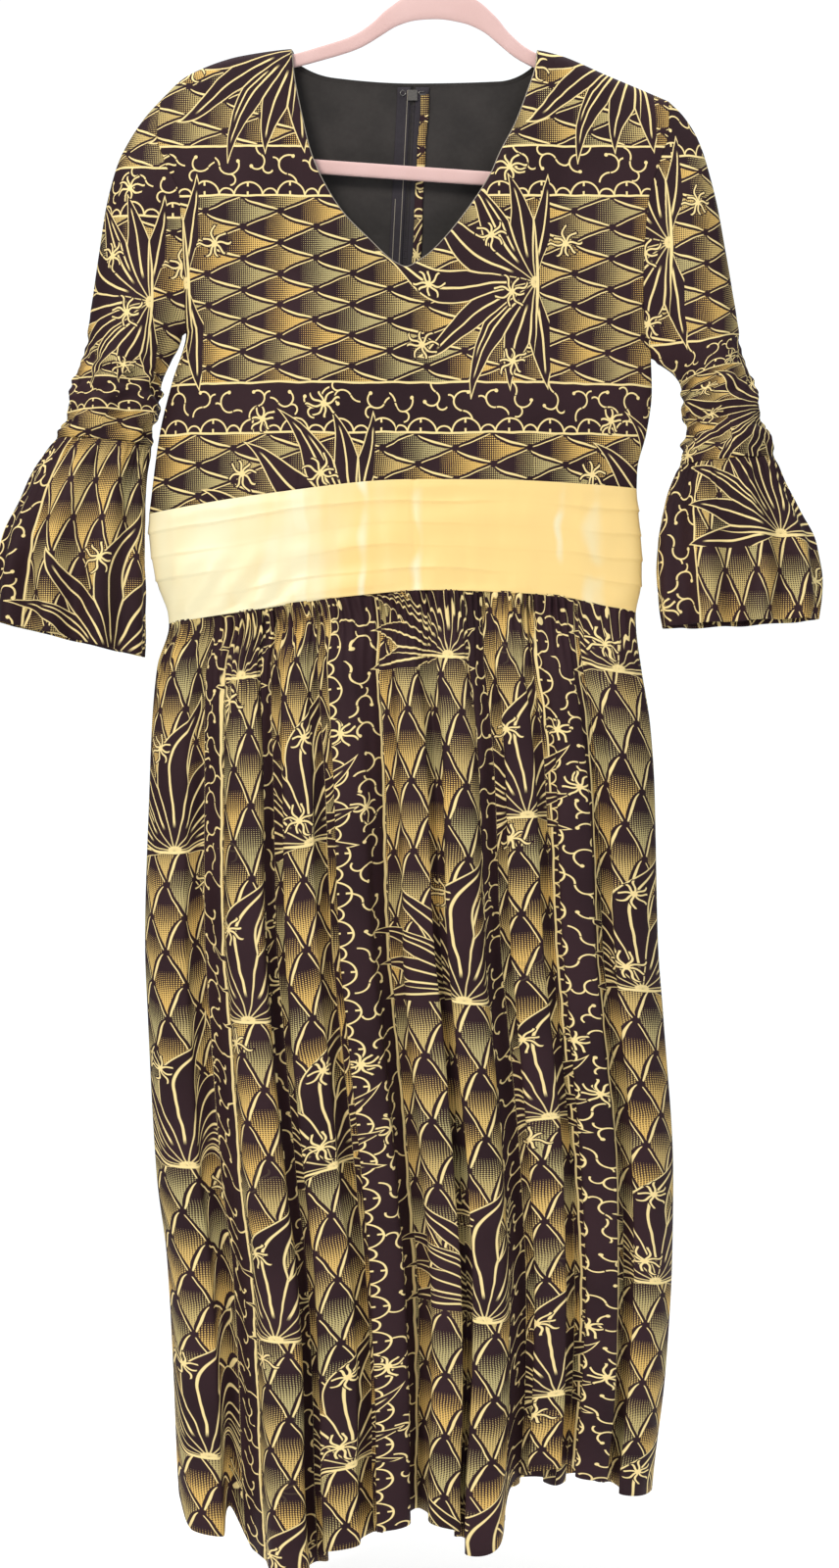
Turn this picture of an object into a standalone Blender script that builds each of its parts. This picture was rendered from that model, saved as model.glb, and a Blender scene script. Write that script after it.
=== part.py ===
"""Ankara wax print dress hanging on a slim flocked hanger.

Blender 4.5. Metres, +Z up, the front faces -Y and +X is the viewer's right.
The origin is the inside top of the hanger's hook. Tables and sizes are in
millimetres and are scaled to metres when a mesh is made.

The dress is cut as flat panels: one bodice front, two bodice backs that meet at
the centre back zip, a three piece waistband, a gathered skirt of one front and
two backs, and two set in sleeves that are gathered onto a flounce. Each panel is
a grid between its own seams, and its wall goes inward from the outer surface.
"""

from collections import namedtuple
from math import cos, pi, radians, sin

import bmesh
import bpy
import numpy as np
from mathutils import Matrix

MM = 0.001

# Cloth walls and seams
CLOTH = 1.6
LINING = 1.0
TAPE = 0.9
SEAM_GAP = 0.5
ROW_GAP = 0.8
LAYER_GAP = 0.35
LINING_GAP = 0.7

# Section of the hanging dress
SECTION_POWER = 2.5
BLEND_POWER = 4.0
SHOULDER_ROLL = 10.0
ARMHOLE_DEPTH = 15.0
NECK_SHARE = 0.52
NECK_POWER = 0.33
NECK_DEPTH_FRONT = 15.5
NECK_DEPTH_BACK = 8.0
ARMHOLE_SHARE = 0.6
BUST_FULLNESS = 5.0
BUST_SPREAD = 95.0
BUST_LEVEL = -395.0

# Waist, where every bodice column ends
WAIST_CENTRE = -42.4
WAIST_HALF = 206.4
BODICE_LENGTH = 350.0

# Centre back zip
SLIT = 1.8
ZIP_TOP = -134.5
ZIP_END = -664.0
ZIP_STEPS = (-140, -150, -170, -210, -260, -330, -400, -470, -500, -530, -565, -590, -612, -640)
TAPE_INNER = 2.5
TAPE_WIDTH = 11.0
CHAIN_HALF = 2.1
CHAIN_THICK = 1.3
SLIDER_TOP = -137.0
SLIDER_LENGTH = 9.0
SLIDER_HALF = 4.0
SLIDER_PLATE = 1.2
SLIDER_WEB_HALF = 1.3
BRIDGE_HALF = 1.1
BRIDGE_BAR = 1.0
BRIDGE_POST = 1.5
PIN_RADIUS = 0.55
PIN_ROOM = 0.35
PULL_HALF = 2.7
PULL_ARM = 1.0
PULL_THICK = 1.0
PULL_START = 6.0
PULL_LENGTH = 19.0
PULL_LEAN = radians(6.0)

# Printed seam allowance that shows beside the zip, and the neck's hook and eye
STRIP_INNER = 6.5
STRIP_OUTER = 13.2
STRIP_WALL = 0.8
STRIP_LEVELS = (-141.0, -150.0, -170.0, -210.0, -260.0, -282.0)
EYE_RADIUS = 2.2
CLASP_RADIUS = 1.2
CLASP_REACH = 2.4
CLASP_LONG = 4.4
CLASP_SHORT = 2.8
FASTENER_WIRE = 0.45
FASTENER_OFFSET = 8.6
FASTENER_LEVEL = -139.5

# Hanger
HANGER_TILT = radians(4.0)
HUMP_TOP = -55.0
HANGER_THICK = 4.8
HANGER_SPLIT = 0.9
HOOK_RADIUS = 18.0
HOOK_START = radians(-65)
HOOK_END = radians(205)
HOOK_STEPS = 19
STEM_FOOT = -54.6
STEM_TOP = -49.0
WIRE_RADIUS = 1.9

TopEdge = namedtuple("TopEdge", "share x z")
SideEdge = namedtuple("SideEdge", "way x z")
Level = namedtuple("Level", "z front back")
Sag = namedtuple("Sag", "share z")
Width = namedtuple("Width", "z left right")
Ring = namedtuple("Ring", "outer_x outer_z inner_x inner_z half_depth")
Fold = namedtuple("Fold", "top hem height")
Spine = namedtuple("Spine", "x z height")

# Shoulders and neckline of the front, from the left shoulder tip to the right one.
FRONT_TOP = (
    TopEdge(-1.00, -238.2, -147.0),
    TopEdge(-0.86, -216.6, -127.5),
    TopEdge(-0.70, -171.8, -110.5),
    TopEdge(-0.52, -128.7, -104.5),
    TopEdge(-0.49, -126.6, -124.0),
    TopEdge(-0.42, -118.7, -165.4),
    TopEdge(-0.355, -110.4, -198.0),
    TopEdge(-0.24, -87.2, -241.8),
    TopEdge(-0.14, -63.1, -267.5),
    TopEdge(-0.05, -39.8, -288.3),
    TopEdge(-0.012, -31.0, -291.6),
    TopEdge(0.035, -17.5, -284.5),
    TopEdge(0.08, -7.5, -276.6),
    TopEdge(0.27, 39.8, -213.6),
    TopEdge(0.32, 48.1, -194.5),
    TopEdge(0.38, 60.6, -170.4),
    TopEdge(0.445, 71.4, -142.2),
    TopEdge(0.49, 78.4, -120.0),
    TopEdge(0.52, 80.5, -105.5),
    TopEdge(0.60, 97.9, -109.5),
    TopEdge(0.78, 139.4, -127.0),
    TopEdge(1.00, 190.9, -148.7),
)

# The back has the same shoulders and a shallow neckline.
BACK_TOP = (
    TopEdge(-1.00, -238.2, -147.0),
    TopEdge(-0.86, -216.6, -127.5),
    TopEdge(-0.70, -171.8, -110.5),
    TopEdge(-0.52, -128.7, -104.5),
    TopEdge(-0.49, -124.0, -115.0),
    TopEdge(-0.33, -93.0, -127.0),
    TopEdge(0.0, -25.0, -131.5),
    TopEdge(0.33, 48.0, -130.0),
    TopEdge(0.49, 77.0, -117.5),
    TopEdge(0.52, 80.5, -105.5),
    TopEdge(0.60, 97.9, -109.5),
    TopEdge(0.78, 139.4, -127.0),
    TopEdge(1.00, 190.9, -148.7),
)

# Armhole to the underarm, then the side seam to the waist.
LEFT_SIDE = (
    SideEdge(0.0, -238.2, -147.0),
    SideEdge(0.10, -241.5, -178.7),
    SideEdge(0.18, -234.1, -203.6),
    SideEdge(0.27, -221.6, -232.6),
    SideEdge(0.50, -218.3, -311.5),
    SideEdge(0.60, -217.5, -344.7),
    SideEdge(0.70, -229.1, -385.4),
    SideEdge(0.83, -239.9, -430.2),
    SideEdge(1.0, -248.8, -498.3),
)
RIGHT_SIDE = (
    SideEdge(0.0, 190.9, -148.7),
    SideEdge(0.08, 190.2, -175.4),
    SideEdge(0.16, 181.8, -204.4),
    SideEdge(0.25, 172.6, -236.0),
    SideEdge(0.43, 168.5, -303.2),
    SideEdge(0.53, 169.5, -339.7),
    SideEdge(0.60, 176.0, -366.3),
    SideEdge(0.71, 176.8, -394.5),
    SideEdge(0.83, 172.6, -427.7),
    SideEdge(0.94, 164.5, -460.9),
    SideEdge(1.0, 164.0, -476.7),
)

# Half depths of the hanging dress at its centre front and centre back.
DEPTHS = (
    Level(-104.0, 8.5, 8.5),
    Level(-131.0, 11.0, 10.0),
    Level(-160.0, 14.0, 12.5),
    Level(-200.0, 17.0, 15.0),
    Level(-300.0, 21.5, 18.5),
    Level(-400.0, 24.0, 21.5),
    Level(-500.0, 26.0, 25.0),
    Level(-585.0, 30.0, 29.0),
    Level(-640.0, 38.0, 36.0),
    Level(-760.0, 46.0, 44.0),
    Level(-950.0, 50.0, 49.0),
    Level(-1375.0, 56.0, 55.0),
)

# Seam of bodice and waistband, and of waistband and skirt, across the dress.
WAIST_SAG = (
    Sag(-1.0, -498.3),
    Sag(-0.51, -483.3),
    Sag(0.08, -471.7),
    Sag(0.37, -471.7),
    Sag(1.0, -476.7),
)
SKIRT_SAG = (
    Sag(-1.0, -591.0),
    Sag(-0.57, -579.6),
    Sag(-0.2, -569.6),
    Sag(0.12, -564.7),
    Sag(0.5, -567.1),
    Sag(0.72, -571.3),
    Sag(0.87, -578.6),
    Sag(1.0, -581.5),
)
FRONT_HEM = (
    Sag(-1.0, -1324.0),
    Sag(-0.92, -1350.0),
    Sag(-0.83, -1352.8),
    Sag(-0.76, -1330.0),
    Sag(-0.70, -1368.0),
    Sag(-0.51, -1375.0),
    Sag(-0.41, -1372.0),
    Sag(-0.33, -1356.0),
    Sag(-0.16, -1345.0),
    Sag(0.02, -1329.5),
    Sag(0.11, -1334.0),
    Sag(0.27, -1357.0),
    Sag(0.36, -1334.0),
    Sag(0.42, -1304.0),
    Sag(0.55, -1291.0),
    Sag(0.72, -1302.0),
    Sag(0.93, -1320.6),
    Sag(1.0, -1322.0),
)
BACK_HEM = (
    Sag(-1.0, -1324.0),
    Sag(-0.8, -1338.0),
    Sag(-0.3, -1330.0),
    Sag(0.25, -1334.0),
    Sag(0.7, -1326.0),
    Sag(1.0, -1322.0),
)

# Left and right outline of the waistband and the skirt.
OUTLINE = (
    Width(-476.0, -248.6, 163.9),
    Width(-498.3, -248.8, 166.5),
    Width(-530.0, -244.5, 168.0),
    Width(-558.8, -239.0, 167.0),
    Width(-583.0, -232.4, 163.2),
    Width(-592.0, -232.0, 163.4),
    Width(-627.0, -242.0, 167.7),
    Width(-677.0, -246.5, 175.5),
    Width(-727.0, -248.5, 179.0),
    Width(-860.0, -252.3, 182.0),
    Width(-926.0, -249.8, 186.8),
    Width(-1058.5, -242.4, 195.0),
    Width(-1125.0, -234.0, 194.2),
    Width(-1224.0, -228.3, 188.4),
    Width(-1307.0, -224.9, 178.5),
    Width(-1376.0, -220.0, 172.6),
)

# Crests (near 1) and valleys (near 0) of the skirt's folds across its width,
# at the waistband and at the hem.
FRONT_FOLDS = (
    Fold(-1.0, -1.0, 0.5),
    Fold(-0.93, -0.90, 0.75),
    Fold(-0.80, -0.72, 0.0),
    Fold(-0.64, -0.52, 1.0),
    Fold(-0.54, -0.41, 0.30),
    Fold(-0.45, -0.31, 0.85),
    Fold(-0.36, -0.17, 0.35),
    Fold(-0.27, -0.09, 0.75),
    Fold(-0.10, 0.01, 0.0),
    Fold(0.01, 0.13, 0.85),
    Fold(0.10, 0.20, 0.50),
    Fold(0.20, 0.28, 1.0),
    Fold(0.33, 0.43, 0.20),
    Fold(0.43, 0.52, 0.65),
    Fold(0.53, 0.62, 0.25),
    Fold(0.64, 0.72, 0.70),
    Fold(0.74, 0.81, 0.30),
    Fold(0.87, 0.91, 0.85),
    Fold(1.0, 1.0, 0.5),
)
BACK_FOLDS = (
    Fold(0.0, 0.0, 0.5),
    Fold(0.10, 0.11, 0.75),
    Fold(0.19, 0.21, 0.15),
    Fold(0.29, 0.31, 0.95),
    Fold(0.39, 0.41, 0.25),
    Fold(0.48, 0.50, 0.80),
    Fold(0.57, 0.60, 0.10),
    Fold(0.67, 0.70, 0.95),
    Fold(0.77, 0.79, 0.30),
    Fold(0.88, 0.89, 0.80),
    Fold(1.0, 1.0, 0.5),
)
FOLD_START = 1.5
FOLD_GROWTH = ((0.0, FOLD_START), (0.05, 4.0), (0.15, 8.5), (0.35, 13.0), (1.0, 16.0))

# Sleeves: the outer and the inner end of each ring, from the armhole down.
LEFT_SLEEVE = (
    Ring(-239.0, -147.6, -218.3, -344.9, ARMHOLE_DEPTH),
    Ring(-250.5, -160.0, -220.6, -347.0, 18.0),
    Ring(-265.0, -180.0, -221.6, -350.0, 22.0),
    Ring(-276.5, -204.0, -222.8, -353.0, 25.0),
    Ring(-284.0, -236.0, -224.2, -356.2, 26.0),
    Ring(-290.0, -270.0, -226.3, -360.0, 27.0),
    Ring(-295.0, -308.0, -230.0, -365.5, 27.0),
    Ring(-299.5, -343.0, -234.0, -374.0, 27.0),
    Ring(-305.5, -369.0, -237.5, -386.0, 28.0),
    Ring(-313.0, -394.0, -240.6, -402.0, 30.0),
    Ring(-320.5, -417.0, -243.8, -421.0, 29.0),
    Ring(-326.8, -434.5, -246.8, -441.0, 27.0),
)
RIGHT_SLEEVE = (
    Ring(191.7, -149.3, 176.9, -366.6, ARMHOLE_DEPTH),
    Ring(203.5, -161.0, 179.6, -368.0, 18.0),
    Ring(216.0, -180.0, 182.0, -369.5, 22.0),
    Ring(224.5, -205.0, 185.0, -371.0, 25.0),
    Ring(231.5, -237.0, 188.2, -373.0, 26.0),
    Ring(238.5, -272.0, 192.0, -375.5, 27.0),
    Ring(244.5, -310.0, 196.5, -379.5, 27.0),
    Ring(249.8, -346.0, 200.5, -387.0, 27.0),
    Ring(257.0, -376.0, 203.0, -398.0, 28.0),
    Ring(266.0, -402.0, 204.6, -414.0, 30.0),
    Ring(273.5, -427.0, 205.0, -434.0, 29.0),
    Ring(280.3, -450.5, 200.8, -457.0, 27.0),
)
LEFT_FLOUNCE = (
    Ring(-327.2, -435.3, -247.0, -441.8, 27.0),
    Ring(-344.5, -459.0, -250.8, -470.0, 30.0),
    Ring(-361.0, -491.0, -251.8, -505.0, 33.0),
    Ring(-373.0, -522.0, -252.2, -540.0, 36.0),
    Ring(-380.0, -555.0, -252.2, -580.0, 38.0),
    Ring(-381.5, -588.0, -252.2, -619.0, 40.0),
)
RIGHT_FLOUNCE = (
    Ring(280.7, -451.3, 200.4, -457.8, 27.0),
    Ring(292.0, -477.0, 190.5, -480.0, 30.0),
    Ring(305.5, -500.0, 184.5, -501.0, 33.0),
    Ring(315.5, -527.0, 181.2, -528.0, 36.0),
    Ring(320.3, -556.0, 181.8, -560.0, 38.0),
    Ring(317.5, -587.0, 185.5, -594.0, 40.0),
)
SLEEVE_COLUMNS = 20
SLEEVE_GATHERS = 5
SLEEVE_GATHER_HEIGHTS = (0, 0, 0, 0, 0, 0, 0, 0.4, 1.4, 2.6, 3.0, 1.2)
FLOUNCE_COLUMNS = 36
FLOUNCE_WAVES = 9
FLOUNCE_WAVE_HEIGHTS = (1.2, 3.5, 5.0, 6.5, 8.0, 9.0)

# Rows and columns of the grids, as shares of the way down and across
SHOULDER_ROWS = (0.001, 0.004)
SIDE_SEAM_ROWS = (0.7, 0.8, 0.9, 1)
HALF_COLUMNS = (
    0, 0.07, 0.15, 0.24, 0.33, 0.42, 0.49, 0.511, 0.52, 0.56, 0.66, 0.78, 0.88, 0.95, 0.985, 0.9985, 1,
)
LINING_FROM_ROW = 4
LINING_TO_ROW = 12
LINING_FROM_COLUMN = 1
LINING_TO_COLUMN = 13
BAND_ROWS = (0, 0.33, 0.67, 1)
BAND_HALF_COLUMNS = (0, 0.12, 0.25, 0.38, 0.5, 0.6, 0.68, 0.76, 0.82, 0.88, 0.93, 0.97, 0.9985, 1)
SKIRT_ROWS = (0, 0.03, 0.1, 0.2, 0.32, 0.45, 0.58, 0.71, 0.83, 0.92, 1)
SKIRT_HALF_COLUMNS = 29
EDGE_COLUMN = 0.9985

# Hanger, right half of its centre line before it is tilted
ARM_SPINE = (
    Spine(0.0, -67.0, 24.0),
    Spine(20.0, -69.5, 23.0),
    Spine(40.0, -79.5, 17.0),
    Spine(54.0, -91.5, 13.0),
    Spine(70.0, -103.0, 12.0),
    Spine(98.0, -114.5, 11.5),
    Spine(129.0, -125.0, 11.0),
    Spine(165.0, -133.5, 11.0),
    Spine(188.0, -143.0, 11.0),
    Spine(200.0, -151.5, 11.0),
    Spine(204.0, -159.0, 11.0),
    Spine(204.0, -166.0, 11.0),
)
BAR_SPINE = (
    Spine(204.0, -166.0, 11.0),
    Spine(204.0, -178.0, 11.0),
    Spine(198.0, -197.0, 11.5),
    Spine(184.0, -208.0, 12.0),
    Spine(165.0, -210.5, 12.0),
    Spine(0.0, -210.5, 12.0),
)

COLOURS = {
    "print_cotton": ((0.20, 0.13, 0.055), 0.78, 0.0),
    "waistband_satin": ((0.83, 0.74, 0.42), 0.42, 0.0),
    "lining_cloth": ((0.035, 0.030, 0.035), 0.80, 0.0),
    "zip_tape": ((0.030, 0.025, 0.030), 0.75, 0.0),
    "zip_metal": ((0.62, 0.60, 0.56), 0.30, 1.0),
    "hanger_flock": ((0.80, 0.56, 0.54), 0.90, 0.0),
    "hook_steel": ((0.72, 0.72, 0.74), 0.22, 1.0),
}


def new_collection(name):
    """A collection of the scene, by name."""
    group = bpy.data.collections.new(name)
    bpy.context.scene.collection.children.link(group)
    return group


def new_material(owner, finish):
    """The object's own Principled material of one named finish."""
    colour, roughness, metallic = COLOURS[finish]
    material = bpy.data.materials.new(f"{owner}_{finish}")
    material.use_nodes = True
    shader = material.node_tree.nodes["Principled BSDF"]
    shader.inputs["Base Color"].default_value = (*colour, 1.0)
    shader.inputs["Roughness"].default_value = roughness
    shader.inputs["Metallic"].default_value = metallic
    material.diffuse_color = (*colour, 1.0)
    return material


def smooth(at, knots, values):
    """Monotone cubic through a table's points: it never swings past them."""
    knots = np.asarray(knots, float)
    values = np.asarray(values, float)
    step = np.diff(knots)
    slope = np.diff(values) / step
    both = slope[:-1] * slope[1:]
    total = slope[:-1] + slope[1:]
    inner = np.where(both > 0, 2 * both / np.where(total == 0, 1, total), 0)
    tangent = np.concatenate((slope[:1], inner, slope[-1:]))
    at = np.clip(np.asarray(at, float), knots[0], knots[-1])
    cell = np.clip(np.searchsorted(knots, at, side="right") - 1, 0, len(knots) - 2)
    t = (at - knots[cell]) / step[cell]
    start = values[cell] * (1 + 2 * t) * (1 - t) ** 2 + tangent[cell] * step[cell] * t * (1 - t) ** 2
    end = values[cell + 1] * t * t * (3 - 2 * t) + tangent[cell + 1] * step[cell] * t * t * (t - 1)
    return start + end


def column(table, name):
    """One named column of a table."""
    return np.array([getattr(row, name) for row in table], float)


def read(table, key, name, at):
    """A column of a table as a smooth function of its key column."""
    keys = column(table, key)
    values = column(table, name)
    if keys[0] > keys[-1]:
        keys = keys[::-1]
        values = values[::-1]
    return smooth(at, keys, values)


def section(share):
    """Depth of a hanging section across its width: 1 at the middle, 0 at the sides."""
    return np.sqrt(np.clip(1 - np.abs(share) ** SECTION_POWER, 0, 1))


def least(a, b):
    """A rounded minimum of two lengths."""
    a = np.maximum(a, 1e-6)
    b = np.maximum(b, 1e-6)
    return (a ** -BLEND_POWER + b ** -BLEND_POWER) ** (-1 / BLEND_POWER)


def armhole_opening(way):
    """Half depth of the open armhole at a row of the side: 0 at both of its ends."""
    along = np.clip(way / ARMHOLE_SHARE, 0, 1)
    return ARMHOLE_DEPTH * 2 * np.sqrt(along * (1 - along))


def bodice_depth(share, way, x, z, drop, side):
    """Half depth of the bodice at a point, drop below its top edge, on the front or back."""
    neck_depth = NECK_DEPTH_FRONT if side == "front" else NECK_DEPTH_BACK
    inside = np.clip(1 - (share / NECK_SHARE) ** 2, 0, 1)
    edge = armhole_opening(way)
    full = read(DEPTHS, "z", side, z)
    if side == "front":
        centre = x - smooth(z, (-500, -130), (WAIST_CENTRE, -25))
        spread = np.exp(-((np.abs(centre) - BUST_SPREAD) / 55) ** 2)
        full = full + BUST_FULLNESS * spread * np.exp(-((z - BUST_LEVEL) / 60) ** 2)
    body = SEAM_GAP + edge + np.maximum(full - edge, 0) * section(share)
    wrap = SEAM_GAP + neck_depth * inside ** NECK_POWER + np.sqrt(SHOULDER_ROLL * drop)
    return least(body, wrap)


def bodice_grid(shares, ways, side):
    """Points of the bodice, rows down and columns across, between its four seams.

    Each column runs straight from its place on the top edge to its place at the
    waist, and the columns near a side bend with the armhole and the side seam.
    """
    share, way = np.meshgrid(shares, ways)
    top = FRONT_TOP if side == "front" else BACK_TOP
    top_x = read(top, "share", "x", share)
    top_z = read(top, "share", "z", share)
    low_x = WAIST_CENTRE + WAIST_HALF * share
    low_z = read(WAIST_SAG, "share", "z", share)
    x = top_x + way * (low_x - top_x)
    z = top_z + way * (low_z - top_z)
    for table, sign in ((LEFT_SIDE, -1), (RIGHT_SIDE, 1)):
        weight = np.clip(sign * share, 0, 1) ** 2
        start, end = table[0], table[-1]
        x = x + weight * (read(table, "way", "x", way) - start.x - way * (end.x - start.x))
        z = z + weight * (read(table, "way", "z", way) - start.z - way * (end.z - start.z))
    y = bodice_depth(share, way, x, z, np.maximum(top_z - z, 0), side)
    if side == "back":
        x = x + slit_shift(share, z)
    return np.stack((x, -y if side == "front" else y, z), axis=-1)


def slit_shift(share, z):
    """Sideways step that opens the centre back for the zip and closes it below."""
    wide = smooth(z, (ZIP_END - 80, ZIP_END), (SEAM_GAP, SLIT))
    side = np.where(share < 0, -1, 1)
    return side * wide * (1 - np.abs(share)) ** 6


def trunk_point(share, z, side):
    """Waistband and skirt surface without folds."""
    left = read(OUTLINE, "z", "left", z)
    right = read(OUTLINE, "z", "right", z)
    x = (left + right) / 2 + share * (right - left) / 2
    full = read(DEPTHS, "z", side, z)
    y = SEAM_GAP + full * section(share)
    return x, y


def band_grid(shares, rows, side):
    """Points of the waistband between the bodice's seam and the skirt's."""
    share, row = np.meshgrid(shares, rows)
    top = read(WAIST_SAG, "share", "z", share) - ROW_GAP
    low = read(SKIRT_SAG, "share", "z", share) + ROW_GAP
    z = top + row * (low - top)
    x, y = trunk_point(share, z, side)
    waist_x = WAIST_CENTRE + WAIST_HALF * share
    waist_y = bodice_depth(share, np.ones_like(z), waist_x, z, BODICE_LENGTH, side)
    join = (1 - row) ** 2
    x = x + join * (waist_x - x)
    y = y + join * (waist_y - y)
    if side == "back":
        x = x + slit_shift(share, z)
    return np.stack((x, -y if side == "front" else y, z), axis=-1)


def fold_height(share, row, folds):
    """Place in the folds from 0 in a valley to 1 on a crest."""
    heights = column(folds, "height")
    top = column(folds, "top")
    hem = column(folds, "hem")
    down = row ** 0.7
    out = np.empty_like(share)
    for index in range(share.shape[0]):
        mix = down[index, 0]
        out[index] = smooth(share[index], top + mix * (hem - top), heights)
    return out


def skirt_grid(shares, rows, side):
    """Points of the skirt, gathered at the waistband and folded to the hem."""
    share, row = np.meshgrid(shares, rows)
    top = read(SKIRT_SAG, "share", "z", share)
    hem = read(FRONT_HEM if side == "front" else BACK_HEM, "share", "z", share)
    z = top + row * (hem - top)
    x, y = trunk_point(share, z, side)
    growth = smooth(row, *zip(*FOLD_GROWTH))
    if side == "front":
        height = fold_height(share, row, FRONT_FOLDS)
        calm = 1 - np.abs(share) ** 8
    else:
        height = fold_height(np.abs(share), row, BACK_FOLDS)
        calm = (1 - np.abs(share) ** 8) * (1 - np.exp(-((share * 10) ** 2)))
        x = x + slit_shift(share, z)
    y = y + growth * (2 * height - 1) * calm
    return np.stack((x, -y if side == "front" else y, z), axis=-1)


def skirt_shares():
    """Columns of the whole skirt front, closer together towards the side seams."""
    even = np.linspace(0, 1, SKIRT_HALF_COLUMNS)
    half = 0.65 * np.sin(even * pi / 2) + 0.35 * even
    half = np.append(half[:-1], (EDGE_COLUMN, 1.0))
    return np.concatenate((-half[:0:-1], half))


def bodice_rows():
    """Rows of the bodice: its armhole rows are the columns of the sleeve's first ring."""
    angle = np.linspace(0, pi, SLEEVE_COLUMNS // 2 + 1)
    armhole = ARMHOLE_SHARE * (1 - np.cos(angle)) / 2
    return np.concatenate(((0.0,), SHOULDER_ROWS, armhole[1:], SIDE_SEAM_ROWS))


def mirrored(half):
    """Shares from side to side, from those of one half."""
    half = np.array(half, float)
    return np.concatenate((-half[:0:-1], half))


def armhole_ring(angle, table, rings):
    """The armhole's seam as the sleeve's first ring: front at sin < 0, back at sin > 0."""
    along = (1 - np.cos(angle)) / 2
    way = along * ARMHOLE_SHARE
    ring = rings[0]
    x = read(table, "way", "x", way)
    z = read(table, "way", "z", way)
    front = bodice_depth(np.ones_like(x), way, x, z, np.maximum(table[0].z - z, 0), "front")
    back = bodice_depth(np.ones_like(x), way, x, z, np.maximum(table[0].z - z, 0), "back")
    x = x + ring.outer_x - table[0].x
    z = z + (1 - along) * (ring.outer_z - table[0].z)
    y = np.where(np.sin(angle) < 0, -front, back) * np.where(np.abs(np.sin(angle)) < 1e-6, 0, 1)
    return np.stack((x, y, z), axis=-1)


def ring_points(ring, angle, lift):
    """One ring of a sleeve or flounce: a flattened oval, lifted outward by its gathers."""
    middle = np.array(((ring.outer_x + ring.inner_x) / 2, (ring.outer_z + ring.inner_z) / 2))
    half = np.array(((ring.outer_x - ring.inner_x) / 2, (ring.outer_z - ring.inner_z) / 2))
    length = np.hypot(*half)
    ease = np.abs(np.sin(angle)) ** 0.5
    across = np.cos(angle) * (1 + 0.3 * lift * ease / length)
    swing = np.sin(angle) * (ring.half_depth + lift * ease)
    x = middle[0] + half[0] * across
    z = middle[1] + half[1] * across
    return np.stack((x, swing, z), axis=-1)


def tube_grid(rings, columns, waves, heights, first=None):
    """Rings of a sleeve or a flounce from the top down, each closed on itself."""
    angle = np.linspace(0, 2 * pi, columns, endpoint=False)
    rows = []
    for index, ring in enumerate(rings):
        if index == 0 and first is not None:
            rows.append(first(angle))
            continue
        sway = 0.35 * np.sin(2 * angle + 0.6 * index)
        lift = heights[index] * np.cos(waves * angle + sway)
        rows.append(ring_points(ring, angle, lift))
    return np.stack(rows)


def grid_normals(points, closed):
    """Outward unit normals of a grid, from the steps to its neighbours."""
    down = np.gradient(points, axis=0)
    if closed:
        across = (np.roll(points, -1, axis=1) - np.roll(points, 1, axis=1)) / 2
    else:
        across = np.gradient(points, axis=1)
    normal = np.cross(across, down)
    return normal / np.linalg.norm(normal, axis=-1, keepdims=True)


def grid_faces(rows, columns, closed):
    """Quads of a grid, wrapped round when it is closed."""
    index = np.arange(rows * columns).reshape(rows, columns)
    right = np.roll(index, -1, axis=1)
    if not closed:
        index = index[:, :-1]
        right = right[:, :-1]
    quads = np.stack((index[:-1], index[1:], right[1:], right[:-1]), axis=-1)
    return quads.reshape(-1, 4)


def cloth(name, points, finish, group, wall=CLOTH, closed=False, outward=None):
    """A cloth panel: an open grid of its outer surface with a Solidify wall inside it."""
    rows, columns = points.shape[:2]
    faces = grid_faces(rows, columns, closed)
    normal = grid_normals(points, closed)
    if np.mean(normal * outward) > 0:
        faces = faces[:, ::-1]
    mesh = bpy.data.meshes.new(name)
    mesh.from_pydata((points.reshape(-1, 3) * MM).tolist(), [], faces.tolist())
    mesh.update()
    mesh.shade_smooth()
    piece = bpy.data.objects.new(name, mesh)
    piece.data.materials.append(new_material(name, finish))
    group.objects.link(piece)
    shell = piece.modifiers.new("wall", "SOLIDIFY")
    shell.thickness = wall * MM
    shell.offset = -1
    return piece


def outward_of(points, closed=False):
    """Which way is out: from the vertical centre line of the rows."""
    middle = points.mean(axis=1, keepdims=True) if closed else points * (1, 0, 1)
    return points - middle


def layer_inside(points, depth):
    """A grid moved inward from a back panel's outer points by a depth."""
    normal = grid_normals(points, False)
    out = normal * np.sign(np.mean(normal[..., 1]))
    return points - out * depth


def lining_of(panel, side):
    """The lining of a back: the panel's own points moved inside its wall, cut to what shows."""
    inner = layer_inside(panel, CLOTH + LINING_GAP)[LINING_FROM_ROW:LINING_TO_ROW + 1]
    first, last = LINING_FROM_COLUMN, LINING_TO_COLUMN
    if side == "left":
        count = panel.shape[1]
        first, last = count - 1 - last, count - 1 - first
    return inner[:, first:last + 1]


def back_columns(half, side):
    """Shares of one back half, from its outer side to the centre back."""
    half = np.array(half, float)
    half[0] = max(half[0], 1e-9)
    return -half[::-1] if side == "left" else half


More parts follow.
